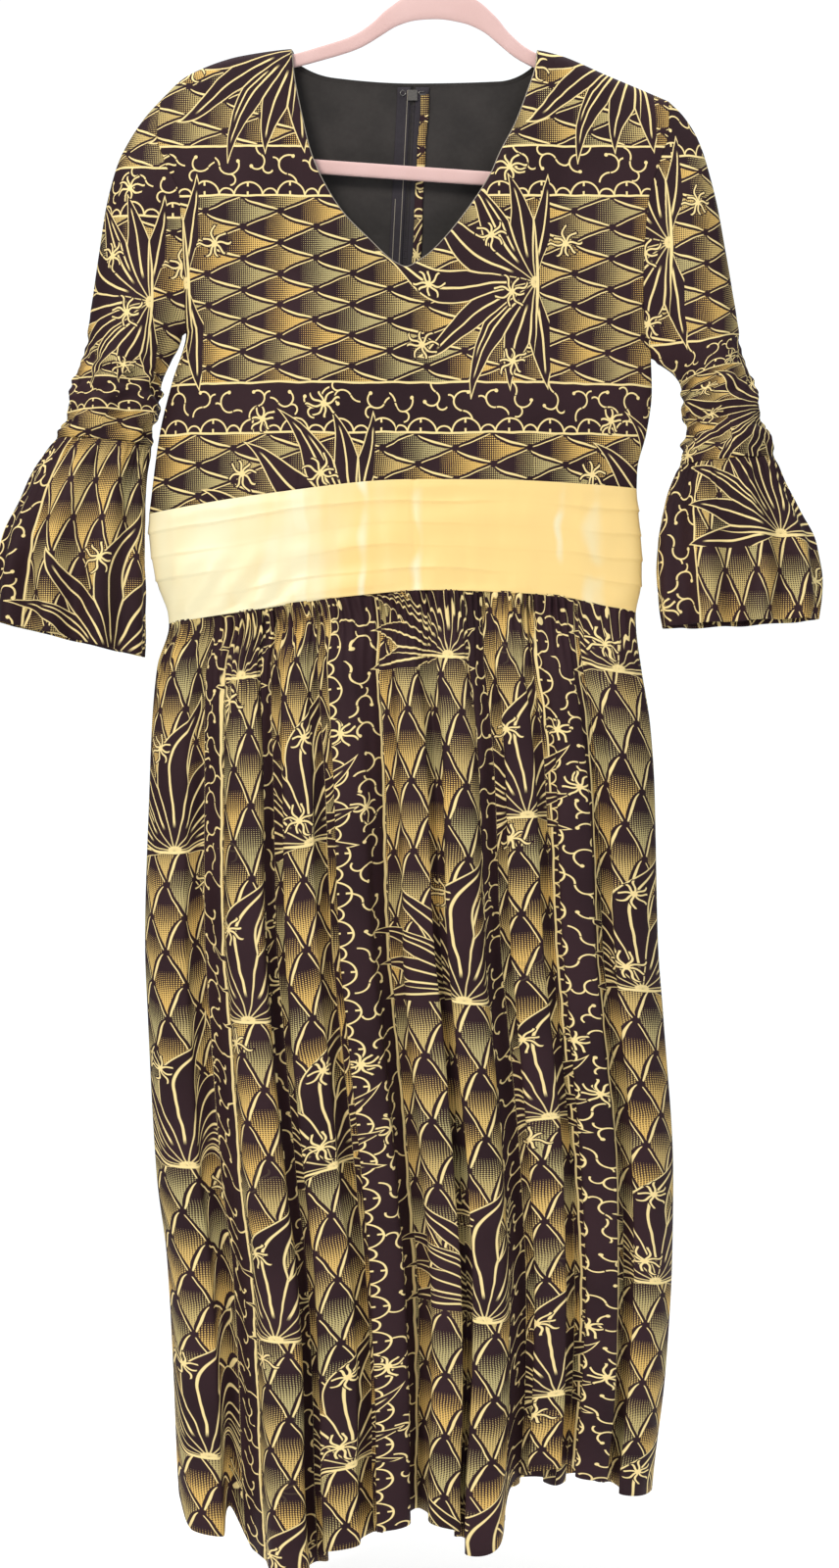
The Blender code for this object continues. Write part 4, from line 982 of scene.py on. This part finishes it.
def make_materials():
    """All finishes of the dress and its hanger."""
    colours = bpy.context.scene.dress_colours
    weave_group()
    print_material()
    satin_material()
    plain_cloth("lining_weave", colours.lining, 0.5, 1.7)
    plain_cloth("tape_weave", colours.tape, 0.7)
    plain_cloth("stitch_thread", colours.thread, 0.4)
    flock_material()
    metal_material("zip_plate", colours.metal, 0.32)
    metal_material("bright_steel", colours.steel, 0.22)


# ---- Pieces


def side_normals(points, side):
    """Unit normals of a panel, turned to its outer side."""
    normal = grid_normals(points)
    return normal * np.sign(normal[..., 1:2] * (-1 if side == "front" else 1))


def ring_normals(points):
    """Unit normals of a closed grid, turned away from its middle."""
    normal = grid_normals(points, True)
    return normal * np.sign(np.mean(normal * (points - points.mean(axis=1, keepdims=True))))


def add_cloth(name, points, cloth, finish, node, thickness, closed=False, outward=None):
    """A sheet with its wall inward from its outer face. Its faces point away from its middle."""
    away = points.mean(axis=1, keepdims=True) if closed else points * (1, 0, 1)
    mesh = grid_mesh(name, points, cloth, closed, outward or facing(points, away, closed))
    piece = add_piece(name, mesh, finish, (node,))
    shell = piece.modifiers.new("wall", "SOLIDIFY")
    shell.thickness = thickness
    shell.offset = -1
    return piece


def add_print(name, points, cloth, closed=False, outward=None):
    """A piece of printed cotton in place of its node."""
    return add_cloth(
        f"{name}_cloth", points, cloth, "waxed_cotton", name,
        bpy.context.scene.dress_sizes.wall, closed, outward,
    )


def flat_down(points, scale=(1.0, 1.0), shift=0.0):
    """Flat cloth of a small strip: its x and z as they hang."""
    return (points[..., (0, 2)] * scale + shift) * MM


def cloth_down(points, share, turn=0.5):
    """Flat cloth of a crosswise cut panel: up the print is to the left, across it is up."""
    depth = np.abs(points[..., 1])
    across = points[..., 0] + np.sign(share) * turn * (depth.max(axis=1, keepdims=True) - depth)
    return np.stack((points[..., 2] + PRINT_START[0], PRINT_START[1] - across), axis=-1) * MM


def half_shares(count, side):
    """Shares of the whole width or of one back half, closer together towards the side seams."""
    even = np.linspace(0, 1, count)
    half = 0.6 * np.sin(even * pi / 2) + 0.4 * even
    if side == "left":
        return -half[::-1]
    if side == "right":
        return half
    return np.concatenate((-half[:0:-1], half))


def make_bodice():
    """Bodice front and the two backs: a little drag in the cloth, and two darts in front."""
    ways = np.linspace(0, 1, 110) ** 1.35
    for part, side, half in PANELS:
        shares = half_shares(180 if side == "front" else 100, half)
        knots = column(FRONT_TOP if side == "front" else BACK_TOP, "share")
        knots = knots[(knots >= shares[0]) & (knots <= shares[-1])]
        shares = np.unique(np.concatenate((shares, knots)))
        points, share, way = bodice_points(shares, ways, side)
        normal = side_normals(points, side)
        x, z = points[..., 0], points[..., 2]
        drag = crumple(x / 38 + 9, z / 62, 5) * 1.1 + crumple(x / 16, z / 34 + 3, 6) * 0.4
        calm = ease(0, 0.12, way) * ease(0, 0.10, 1 - way) * ease(0, 0.12, 1 - np.abs(share))
        points = points + normal * drag[..., None] * calm[..., None]
        for dart in DARTS if side == "front" else ():
            x, z = points[..., 0], points[..., 2]
            place = dart.x + (z - dart.low) * dart.slope
            reach = ease(dart.low, dart.low + 6, z) * ease(-dart.high, 12 - dart.high, -z)
            groove = np.exp(-((x - place) / 1.8) ** 2) * reach
            points = points - normal * (1.3 * groove)[..., None]
        piece = add_print(f"bodice_{part}", points, cloth_down(points, share))


def make_neck():
    """Narrow rolled edge of the neckline, front and back, from shoulder to shoulder."""
    shares = np.linspace(-NECK_SHARE, NECK_SHARE, 160)
    for side, finish in (("front", "stitch_thread"), ("back", "lining_weave")):
        points, _, _ = bodice_points(shares, np.array((0.0, 0.004)), side)
        path = points[0] - np.array((0, 0, 0.3))
        add_tube(f"neck_edge_{side}", path, 0.8, finish, 10)


def make_waistband():
    """Satin waistband: five tucks that come and go, each a low step with a sharp lower edge."""
    tuck = bpy.context.scene.dress_sizes.tuck / MM
    rows = np.linspace(0, 1, 90)
    for part, side, half in PANELS:
        points, share, row = band_points(half_shares(120, half), rows, side)
        normal = side_normals(points, side)
        x = points[..., 0]
        step = (row + crumple(x / 60, row * 2, 11) * 0.03) * 4.9 + 0.02
        fold = step - np.floor(step)
        shown = 0.12 + 1.1 * ease(-0.35, 0.45, crumple(x / 75, np.floor(step) * 3.7, 15))
        lift = tuck * shown * (fold ** 3) * (1 - ease(0.94, 1.0, fold)) * ease(0.03, 0.12, row)
        pucker = crumple(x / 22, row * 1.3, 12) * 0.9 + crumple(x / 9, row * 2 + 5, 13) * 0.35
        sag = crumple(x / 45 + row * 1.5, row * 4, 14) * 0.8 + crumple(x / 90, row * 5.5, 17) * 1.4
        low_left = ease(0.40, 0.75, row) * ease(0.30, 0.60, -share)
        wrinkle = np.sin((x * 0.9 + row * 62) / 4.6 + crumple(x / 30, row * 3, 16)) * 1.1
        sag = sag + wrinkle * low_left
        seam = -0.8 * np.exp(-((x + 25) / 1.2) ** 2) if side == "front" else 0
        calm = ease(0, 0.10, row) * ease(0, 0.08, 1 - row) * ease(0, 0.1, 1 - np.abs(share))
        bulge = 1.2 * np.sin(pi * row)
        points = points + normal * (lift + (pucker + sag) * calm + seam + bulge)[..., None]
        cloth = np.stack((arc(points), row * 100.0), axis=-1) * MM
        piece = add_cloth(
            f"waistband_{part}_satin", points, cloth, "band_satin",
            f"waistband_{part}", SATIN_WALL,
        )


def skirt_points(phase, rows, side):
    """Skirt: its outline and section, with folds that turn back under their own crests.

    The phase runs half a turn from each crest to the next valley. The place across is a smooth
    curve through the folds' places plus two sines of the phase, which widen the crests and
    carry the flanks back under them. The depth is the folds' height times its growth down.
    """
    front = side == "front"
    folds = FRONT_FOLDS if front else BACK_FOLDS
    sign = 1.0 if front else np.where(phase < 0, -1.0, 1.0)
    start = 0.0 if front else 0.5
    knots = np.arange(len(folds)) - 1.0
    knots[0], knots[-1] = -0.5, len(folds) - 2.5
    knots = knots + start
    turn, row = np.meshgrid(phase if front else np.abs(phase), rows)
    top, hem, height = (smooth(turn, knots, column(folds, name)) for name in Fold._fields)
    share = (top + row ** 0.7 * (hem - top)) * sign
    growth = smooth(row, *zip(*FOLD_GROWTH))
    angle = (turn - start) * pi
    edge = 1 - np.abs(share) ** 10
    if not front:
        edge = edge * (1 - np.exp(-((share * 12) ** 2)))
    full = growth / FOLD_GROWTH[-1][1]
    swing = (3.0 * np.sin(angle) + 5.2 * np.sin(2 * angle)) * full * edge * sign
    z_top = read(SKIRT_SAG, "share", "z", share) + 1.2
    z_hem = read(FRONT_HEM if front else BACK_HEM, "share", "z", share)
    z = z_top + row * (z_hem - z_top)
    x, y = trunk_point(share, z, side)
    y = y + growth * (2 * height - 1) * edge
    return np.stack((x + swing, -y if front else y, z), axis=-1), turn, row, share, full


def skirt_print(phase, flat_x, seen_x, runs):
    """Where each column lies on the print.

    Within a run the print moves on with the cloth, narrowed to what shows. It jumps to the next
    run's place at each crease, as if the cloth between were hidden in the fold.
    """
    start, x, cloth = (column(runs, name) for name in Run._fields)
    own = (phase[:, None] > start[1:]).sum(axis=1)
    far = np.abs(seen_x - x[:, None]) + 1000.0 * (own != np.arange(len(runs))[:, None])
    rest = cloth - SHOWN * flat_x[far.argmin(axis=1)]
    return SHOWN * flat_x + rest[own]


def make_skirt():
    """Gathered skirt, front and two backs: pressed in at its creases, with fine gathers on top."""
    gather = bpy.context.scene.dress_sizes.gather / MM
    rows = np.linspace(0, 1, 84) ** 1.2
    front_end, back_end = len(FRONT_FOLDS) - 2.5, len(BACK_FOLDS) - 2.0
    spans = ((-0.5, front_end), (-back_end, -1e-6), (1e-6, back_end))
    for (part, side, _), span, runs in zip(PANELS, spans, SKIRT_RUNS):
        outward, count = (-1, 560) if side == "front" else (1, 270)
        creases = column(runs, "start")[1:]
        near = np.concatenate((creases - 0.005, creases + 0.005))
        phase = np.unique(np.concatenate((np.linspace(*span, count), near)))
        points, turn, row, share, full = skirt_points(phase, rows, side)
        depth = np.abs(phase[:, None] - creases).min(axis=1)
        points[..., 1] -= outward * 7.5 * np.exp(-((depth / 0.15) ** 2)) * full
        middle = len(rows) * 2 // 3
        flat_x = arc(points[middle:middle + 1])[0]
        print_x = skirt_print(phase, flat_x, points[middle, :, 0], runs)
        flat_x = flat_x[None] * np.ones_like(turn)
        normal = grid_normals(points)
        normal = normal * np.sign(normal[0:1, :, 1:2] * outward)
        length = row * 775.0
        tight = 0.5 + 0.5 * crumple(flat_x / 70, length * 0, 21)
        gathers = flat_x * (2 * pi / 11.0) + 1.6 * crumple(flat_x / 30, length / 60, 22)
        pleat = 1 - 2 * np.abs(np.cos(gathers / 2)) ** 1.5
        fade = np.exp(-length / (15 + 38 * tight)) * ease(0, 6, length)
        edge = 1 - np.abs(share) ** 10
        crease = crumple(flat_x / 24, length / 210, 23) * 1.0
        crease = crease + crumple(flat_x / 60, length / 120, 24) * 1.2
        lift = gather * 1.9 * (0.35 + tight) * pleat * fade + crease * ease(20, 120, length)
        hem = np.exp(-((length - 757) / 2.0) ** 2) * 0.7
        points = points + normal * ((lift - hem) * edge)[..., None]
        print_x = print_x[None] + 4.5 * np.sin(gathers) * fade * (0.35 + tight)
        cloth = np.stack((print_x, 205.6 - 775.0 * (row + 0.15 * row ** 2)), axis=-1) * MM
        upper = np.mean(grid_normals(points[:3])[..., 1])
        turned = -1 if upper * outward > 0 else 1
        piece = add_print(f"skirt_{part}", points, cloth, outward=turned)


def ring_points(rings, at, angle, lift):
    """Flattened ovals between each ring's outer and inner end, lifted by their gathers."""
    index = np.arange(len(rings))
    outer_x, outer_z, inner_x, inner_z, half_depth = (
        smooth(at, index, column(rings, name))[:, None] for name in Ring._fields
    )
    soft = np.abs(np.sin(angle)) ** 0.5
    half_x, half_z = (outer_x - inner_x) / 2, (outer_z - inner_z) / 2
    across = np.cos(angle) * (1 + 0.3 * lift * soft / np.hypot(half_x, half_z))
    x = (outer_x + inner_x) / 2 + half_x * across
    z = (outer_z + inner_z) / 2 + half_z * across
    return np.stack((x, np.sin(angle) * (half_depth + lift * soft), z), axis=-1)


def armhole_points(angle, table):
    """The armhole's seam as a closed ring: front at sin < 0, back at sin > 0."""
    way = (1 - np.cos(angle)) / 2 * ARMHOLE_SHARE
    x, z = read(table, "way", "x", way), read(table, "way", "z", way)
    drop = np.maximum(table[0].z - z, 0)
    front, back = (
        bodice_depth(np.ones_like(x), way, x, z, drop, side) for side in ("front", "back")
    )
    around = np.sin(angle)
    y = np.where(around < 0, -front, back) * np.where(np.abs(around) < 1e-6, 0, 1)
    return np.stack((x, y, z), axis=-1)


def make_sleeves():
    """Sleeves: the armhole's ring blends into ovals, ruched towards the elbow."""
    ruche = bpy.context.scene.dress_sizes.ruche / MM
    for sleeve in SLEEVES:
        at = np.linspace(0, len(sleeve.rings) - 1, 150)
        angle = np.linspace(0, 2 * pi, 168, endpoint=False)
        row, turn = at[:, None], angle[None]
        low = ease(6.0, 9.5, row)
        lift = 2.6 * np.cos(5 * turn + 0.35 * np.sin(2 * turn + 0.6 * row)) * low
        points = ring_points(sleeve.rings, at, turn, lift * (1 - 0.6 * ease(10.3, 11, row)))
        join_in = ease(0, 1.0, row)[..., None]
        points = armhole_points(angle, sleeve.edge)[None] * (1 - join_in) + points * join_in
        round_turn = np.minimum(turn, 2 * pi - turn)
        z = points[..., 2]
        wave = crumple(round_turn * 2.2 + 3, z / 9.0, 31)
        wave = wave + 0.6 * crumple(round_turn * 4.5, z / 5.5, 32)
        soft = crumple(round_turn * 1.6 + 8, z / 34, 33) * 1.6 * ease(0.5, 2.5, row) * (1 - low)
        rise = ruche * wave * low * (1 - ease(10.6, 11, row)) + soft
        points = points + ring_normals(points) * rise[..., None]
        wrapped = np.concatenate((points, points[:, :1]), axis=1)
        outer = np.sign(wrapped[..., 0] - points[..., 0].mean(axis=1, keepdims=True))
        cloth = cloth_down(wrapped, outer, 0.8)
        cloth = cloth - np.array(sleeve.taken_up) * ease(6.0, 11.0, row)[..., None]
        cloth = cloth + np.array(sleeve.print_shift)
        piece = add_print(sleeve.name, points, cloth, True)


def make_flounces():
    """Flounces: rings that flare from the elbow, with waves that deepen to the hem."""
    for side, sign, rings, shift in (
        ("left", -1, LEFT_FLOUNCE, (0.040, 0.63)), ("right", 1, RIGHT_FLOUNCE, (0.042, 0.517)),
    ):
        at = np.linspace(0, len(rings) - 1, 80)
        angle = np.linspace(0, 2 * pi, 300, endpoint=False)
        row, turn = at[:, None], angle[None]
        height = smooth(row, range(6), FLOUNCE_HEIGHTS)
        sway = 0.35 * np.sin(2 * turn + 0.5 * row)
        points = ring_points(rings, at, turn, height * np.cos(FLOUNCE_WAVES * turn + sway))
        round_turn = np.minimum(turn, 2 * pi - turn)
        fine = np.sin(turn * 46 + 2 * crumple(round_turn * 5, row, 41))
        fine = fine * np.exp(-row / 0.9) * ease(0, 0.3, row) * 1.1
        soft = crumple(round_turn * 4 + 2, row * 1.1, 42) * 1.8 * ease(0.5, 2, row)
        points = points + ring_normals(points) * (fine + soft)[..., None]
        wrapped = np.concatenate((points, points[:, :1]), axis=1)
        around = arc(wrapped * (1, 1, 0))
        around = around * (around[40:41, -1:] / around[:, -1:])
        front = around[:, [3 * len(angle) // 4]]
        cloth = np.stack((sign * (around - front), wrapped[..., 2]), axis=-1) * MM
        piece = add_print(f"flounce_{side}", points, cloth + np.array(shift), True)


def centre_back(z):
    """The centre back line: its x and its outer half depth at each height."""
    z = np.asarray(z, float)
    neck_x, neck_z = (read(BACK_TOP, "share", name, 0.0) for name in ("x", "z"))
    waist_z, band_z = (read(table, "share", "z", 0.0) for table in (WAIST_SAG, SKIRT_SAG))
    way = np.clip((neck_z - z) / (neck_z - waist_z), 0, 1)
    middle = np.zeros_like(z)
    bodice_x = neck_x + way * (WAIST_CENTRE - neck_x)
    bodice_y = bodice_depth(middle, way, bodice_x, z, np.maximum(neck_z - z, 0), "back")
    lower_x, lower_y = trunk_point(middle, z, "back")
    blend = (1 - np.clip((waist_z - z) / (waist_z - band_z), 0, 1)) ** 2
    x = np.where(z > waist_z, bodice_x, lower_x + blend * (WAIST_CENTRE - lower_x))
    return x, np.where(z > waist_z, bodice_y, lower_y + blend * (bodice_y - lower_y))


def strip_points(across, heights, depth):
    """A strip inside the centre back, at a depth below the cloth's outer surface."""
    offset, z = np.meshgrid(np.array(across, float), np.array(heights, float))
    x, y = centre_back(z)
    below = centre_back(z - 1.0)[1]
    return np.stack((x + offset, y - depth * np.hypot(1.0, below - y), z), axis=-1)


def make_lining():
    """Back lining: the bodice back moved inward, from the neck edge down to what shows."""
    ways = np.linspace(0.0, 0.72, 70) ** 1.2
    for side in ("left", "right"):
        shares = half_shares(60, side)
        points, _, way = bodice_points(shares[np.abs(shares) < 0.93], ways, "back")
        ripple = crumple(points[..., 0] / 40, points[..., 2] / 55, 51) * 0.5
        sunk = (2.4 + ripple)[..., None] * ease(-0.05, 0.04, way)[..., None]
        points = points - side_normals(points, "back") * sunk
        piece = add_cloth(
            f"lining_{side}_cloth", points, flat_down(points), "lining_weave",
            f"lining_back_{side}", LINING_WALL,
        )


def make_zip():
    """Zip tapes, stitch lines, coil and metal, and the printed seam allowance beside them."""
    levels = np.linspace(ZIP_TOP, ZIP_END, 120)
    for side, sign in (("left", -1), ("right", 1)):
        points = strip_points(np.sort(sign * np.linspace(2.2, 13.5, 8)), levels, 3.0)
        piece = add_cloth(
            f"zip_tape_{side}_cloth", points, flat_down(points), "tape_weave",
            f"zip_tape_{side}", TAPE_WALL,
        )
    for index, (offset, top) in enumerate(((-4.6, -137.0), (-10.5, -228.0))):
        path = strip_points((offset,), np.linspace(top, -320.0, 60), 4.0)[:, 0]
        add_tube(f"stitch_line_{index}", path, 0.32, "stitch_thread", 6)
    points = strip_points(np.linspace(-2.1, 2.1, 9), np.linspace(-148.5, ZIP_END, 1300), 2.0)
    tooth = np.abs(np.sin(points[..., 2] * pi / TOOTH_PITCH))
    points[..., 1] += 0.45 * tooth * (1 - np.abs(np.linspace(-1, 1, 9)) ** 2)
    add_cloth(
        "zip_coil", points, flat_down(points), "tape_weave", "zip_chain", COIL_WALL
    )
    points = strip_points(np.linspace(6.5, 13.4, 6), np.linspace(-140.5, -286.0, 60), 3.95)
    points[..., 0] += crumple(points[..., 2] / 18, points[..., 2] * 0, 61) * 0.5
    cloth = flat_down(points, (1.2, 1.0), (60, 0))[..., ::-1]
    piece = add_cloth(
        "seam_strip_cloth", points, cloth, "waxed_cotton", "seam_strip", STRIP_WALL
    )
    for name in ("zip_slider", "zip_pull", "neck_hook", "neck_eye"):
        bpy.data.objects[name].material_slots[0].material = bpy.data.materials["zip_plate"]


def bar_points(spine, lower):
    """A rounded bar along a spine mirrored about the middle, tilted with the hanger.

    Its section is a flat oval with square shoulders: powers of the cosine and of the sine.
    """
    x, z, height = (column(spine, name) for name in Spine._fields)
    if lower:
        x, z, height = x[::-1], z[::-1] - 0.4, height[::-1]
    x, z = np.concatenate((-x[:0:-1], x)), np.concatenate((z[:0:-1], z))
    height = np.concatenate((height[:0:-1], height))
    length = np.concatenate(((0,), np.cumsum(np.hypot(np.diff(x), np.diff(z)))))
    at = np.linspace(0, length[-1], 260)
    path = np.stack((smooth(at, length, x), smooth(at, length, z)), axis=-1)
    for _ in range(3):
        path[1:-1] = (path[:-2] + 2 * path[1:-1] + path[2:]) / 4
    tangent = np.gradient(path, axis=0)
    tangent = tangent / np.linalg.norm(tangent, axis=-1, keepdims=True)
    across = np.stack((-tangent[:, 1], tangent[:, 0]), axis=-1)
    angle = np.linspace(0, 2 * pi, BAR_SIDES, endpoint=False)
    tall = np.sign(np.cos(angle)) * np.abs(np.cos(angle)) ** 0.55
    deep = np.sign(np.sin(angle)) * np.abs(np.sin(angle)) ** 0.7 * 2.4
    half = smooth(at, length, height)[:, None] / 2
    flat = path[:, None] + across[:, None] * (half * tall)[..., None]
    deep = np.broadcast_to(deep, flat.shape[:2])
    points = cap_ends(np.stack((flat[..., 0], deep, flat[..., 1]), axis=-1),
                      np.stack((path[:, 0], path[:, 0] * 0, path[:, 1]), axis=-1))
    side, up = points[..., 0].copy(), points[..., 2] - HUMP_TOP
    points[..., 0] = side * cos(HANGER_TILT) + up * sin(HANGER_TILT)
    points[..., 2] = HUMP_TOP - side * sin(HANGER_TILT) + up * cos(HANGER_TILT)
    return points


def make_hanger():
    """Flocked shoulders and lower bar, and a steel hook: a bow of wire on a bent stem."""
    for name, spine in (("hanger_shoulders", ARM_SPINE), ("hanger_bar", BAR_SPINE)):
        points = bar_points(spine, name == "hanger_bar")
        cloth = np.zeros((len(points), BAR_SIDES + 1, 2))
        outward = facing(points, points.mean(axis=1, keepdims=True), True)
        mesh = grid_mesh(name, points, cloth, True, outward)
        add_piece(f"{name}_flock", mesh, "velvet_flock", (name,))
    around = HOOK_RADIUS + WIRE_RADIUS
    turn = np.linspace(radians(-65), radians(205), 90)
    high = WIRE_RADIUS - around + around * np.sin(turn)
    bow = np.stack((around * np.cos(turn), turn * 0, high), axis=-1)
    start, bend = np.array((0.0, 0.0, -54.6)), np.array((0.0, 0.0, -44.0))
    share = np.linspace(0, 1, 30, endpoint=False)[:, None]
    stem = start * (1 - share) ** 2 + 2 * bend * share * (1 - share) + bow[0] * share ** 2
    path = np.concatenate((stem, bow))
    add_tube(
        "hanger_hook_wire", path, WIRE_RADIUS, "bright_steel", 20, ("hanger_hook",)
    )


# ---- Stage


def add_light(name, place, target, size, power, colour=(1, 1, 1)):
    """A square area light that looks at a point."""
    lamp = bpy.data.lights.new(name, "AREA")
    lamp.size = size
    lamp.energy = power
    lamp.color = colour
    piece = bpy.data.objects.new(name, lamp)
    piece.location = place
    way = np.array(target, float) - np.array(place, float)
    yaw = np.arctan2(way[1], way[0]) - pi / 2
    pitch = np.arctan2(way[2], np.hypot(way[0], way[1])) + pi / 2
    piece.rotation_euler = (pitch, 0, yaw)
    bpy.context.scene.collection.objects.link(piece)


def make_stage():
    """Pale round floor and sky, soft lights and the camera."""
    scene = bpy.context.scene
    tree, shader = new_material("stage_paper", 0.9)
    grain = cloud(object_place(tree), 120.0, 3.0)
    join(mix_colour(grain, (0.86, 0.86, 0.86), (0.90, 0.90, 0.90)), shader["Base Color"])
    join((1.0, 1.0, 1.0, 1.0), shader["Emission Color"])
    join(0.30, shader["Emission Strength"])
    reach = np.linspace(1.0, FLOOR_RADIUS, 24)[:, None]
    around = np.linspace(0, 2 * pi, 72, endpoint=False)[None]
    x, y = reach * np.cos(around), reach * np.sin(around)
    points = np.stack((x, y, x * 0 + FLOOR_LEVEL), axis=-1)
    cloth = np.concatenate((points, points[:, :1]), axis=1)[..., :2] * MM
    mesh = grid_mesh("floor", points, cloth, True, facing(points, points - (0, 0, 1), True))
    floor = bpy.data.objects.new("stage_floor", mesh)
    floor.data.materials.append(bpy.data.materials["stage_paper"])
    scene.collection.objects.link(floor)
    world = bpy.data.worlds.new("studio")
    world.use_nodes = True
    sky = world.node_tree.nodes["Background"].inputs
    seen = Sum(add_node(world.node_tree, "LightPath").outputs["Is Camera Ray"])
    join((0.95, 0.98, 1.0, 1.0), sky["Color"])
    join(seen * 0.74 + 0.36, sky["Strength"])
    scene.world = world
    add_light("key", (-1.3, -2.2, 0.9), (0, 0, -0.7), 0.9, 50, (1.0, 0.95, 0.88))
    add_light("fill", (1.8, -2.0, -0.1), (0, 0, -0.8), 1.8, 10, (0.95, 0.97, 1.0))
    add_light("back", (0.6, 2.2, 0.9), (0, 0, -0.7), 1.8, 22)
    add_light("top", (0, 0.1, 1.6), (0, 0, -1.45), 1.6, 40)
    camera = bpy.data.cameras.new("photo_view")
    camera.sensor_fit = "VERTICAL"
    camera.sensor_height = SENSOR_HEIGHT
    camera.lens = SENSOR_HEIGHT * CAMERA_FOCUS / PHOTO_HEIGHT
    view = bpy.data.objects.new("photo_view", camera)
    view.location = (-0.0199, -2.0, -0.7265)
    view.rotation_euler = (pi / 2, 0, 0)
    scene.collection.objects.link(view)
    scene.camera = view
    scene.view_settings.view_transform = "Standard"


# ---- Operators, panel and registration


class DRESS_OT_finishes(bpy.types.Operator):
    """Makes every material."""

    bl_idname = "dress.finishes"
    bl_label = "Finishes"
    bl_options = {"REGISTER", "UNDO"}

    def execute(self, context):
        make_materials()
        return {"FINISHED"}


class DRESS_OT_stage(bpy.types.Operator):
    """Makes the floor, lights and camera."""

    bl_idname = "dress.stage"
    bl_label = "Stage"
    bl_options = {"REGISTER", "UNDO"}

    def execute(self, context):
        make_stage()
        return {"FINISHED"}


class DRESS_OT_hanger(bpy.types.Operator):
    """Makes the flocked hanger and its hook."""

    bl_idname = "dress.hanger"
    bl_label = "Hanger"
    bl_options = {"REGISTER", "UNDO"}

    def execute(self, context):
        make_hanger()
        return {"FINISHED"}


class DRESS_OT_bodice(bpy.types.Operator):
    """Makes the bodice panels."""

    bl_idname = "dress.bodice"
    bl_label = "Bodice"
    bl_options = {"REGISTER", "UNDO"}

    def execute(self, context):
        make_bodice()
        return {"FINISHED"}


class DRESS_OT_neck(bpy.types.Operator):
    """Makes the rolled edge of the neckline."""

    bl_idname = "dress.neck"
    bl_label = "Neck edge"
    bl_options = {"REGISTER", "UNDO"}

    def execute(self, context):
        make_neck()
        return {"FINISHED"}


class DRESS_OT_lining(bpy.types.Operator):
    """Makes the back lining."""

    bl_idname = "dress.lining"
    bl_label = "Lining"
    bl_options = {"REGISTER", "UNDO"}

    def execute(self, context):
        make_lining()
        return {"FINISHED"}


class DRESS_OT_zip(bpy.types.Operator):
    """Makes the zip and the seam allowance."""

    bl_idname = "dress.zip"
    bl_label = "Zip"
    bl_options = {"REGISTER", "UNDO"}

    def execute(self, context):
        make_zip()
        return {"FINISHED"}


class DRESS_OT_waistband(bpy.types.Operator):
    """Makes the satin waistband."""

    bl_idname = "dress.waistband"
    bl_label = "Waistband"
    bl_options = {"REGISTER", "UNDO"}

    def execute(self, context):
        make_waistband()
        return {"FINISHED"}


class DRESS_OT_skirt(bpy.types.Operator):
    """Makes the gathered skirt."""

    bl_idname = "dress.skirt"
    bl_label = "Skirt"
    bl_options = {"REGISTER", "UNDO"}

    def execute(self, context):
        make_skirt()
        return {"FINISHED"}


class DRESS_OT_sleeves(bpy.types.Operator):
    """Makes the sleeves."""

    bl_idname = "dress.sleeves"
    bl_label = "Sleeves"
    bl_options = {"REGISTER", "UNDO"}

    def execute(self, context):
        make_sleeves()
        return {"FINISHED"}


class DRESS_OT_flounces(bpy.types.Operator):
    """Makes the flounces."""

    bl_idname = "dress.flounces"
    bl_label = "Flounces"
    bl_options = {"REGISTER", "UNDO"}

    def execute(self, context):
        make_flounces()
        return {"FINISHED"}


STEPS = (
    DRESS_OT_finishes, DRESS_OT_stage, DRESS_OT_hanger, DRESS_OT_bodice,
    DRESS_OT_neck, DRESS_OT_lining, DRESS_OT_zip, DRESS_OT_waistband,
    DRESS_OT_skirt, DRESS_OT_sleeves, DRESS_OT_flounces,
)


class DRESS_PT_pieces(bpy.types.Panel):
    """Lists the dress's sizes, colours and pieces."""

    bl_label = "Ankara dress"
    bl_space_type = "VIEW_3D"
    bl_region_type = "UI"
    bl_category = "Dress"

    def draw(self, context):
        """Draws each value and each operator in its own row."""
        for group in (context.scene.dress_sizes, context.scene.dress_colours):
            for name in group.__annotations__:
                self.layout.prop(group, name)
        for step in STEPS:
            self.layout.operator(step.bl_idname)


CLASSES = (DressColours, DressSizes, *STEPS, DRESS_PT_pieces)


def register():
    """Registers the classes and their properties."""
    for entry in CLASSES:
        bpy.utils.register_class(entry)
    bpy.types.Scene.dress_colours = bpy.props.PointerProperty(type=DressColours)
    bpy.types.Scene.dress_sizes = bpy.props.PointerProperty(type=DressSizes)


def unregister():
    """Takes the properties and classes away again."""
    del bpy.types.Scene.dress_sizes
    del bpy.types.Scene.dress_colours
    for entry in reversed(CLASSES):
        bpy.utils.unregister_class(entry)


def main():
    """Builds every piece in order."""
    register()
    for step in STEPS:
        group, name = step.bl_idname.split(".")
        getattr(getattr(bpy.ops, group), name)()


if __name__ == "__main__":
    main()
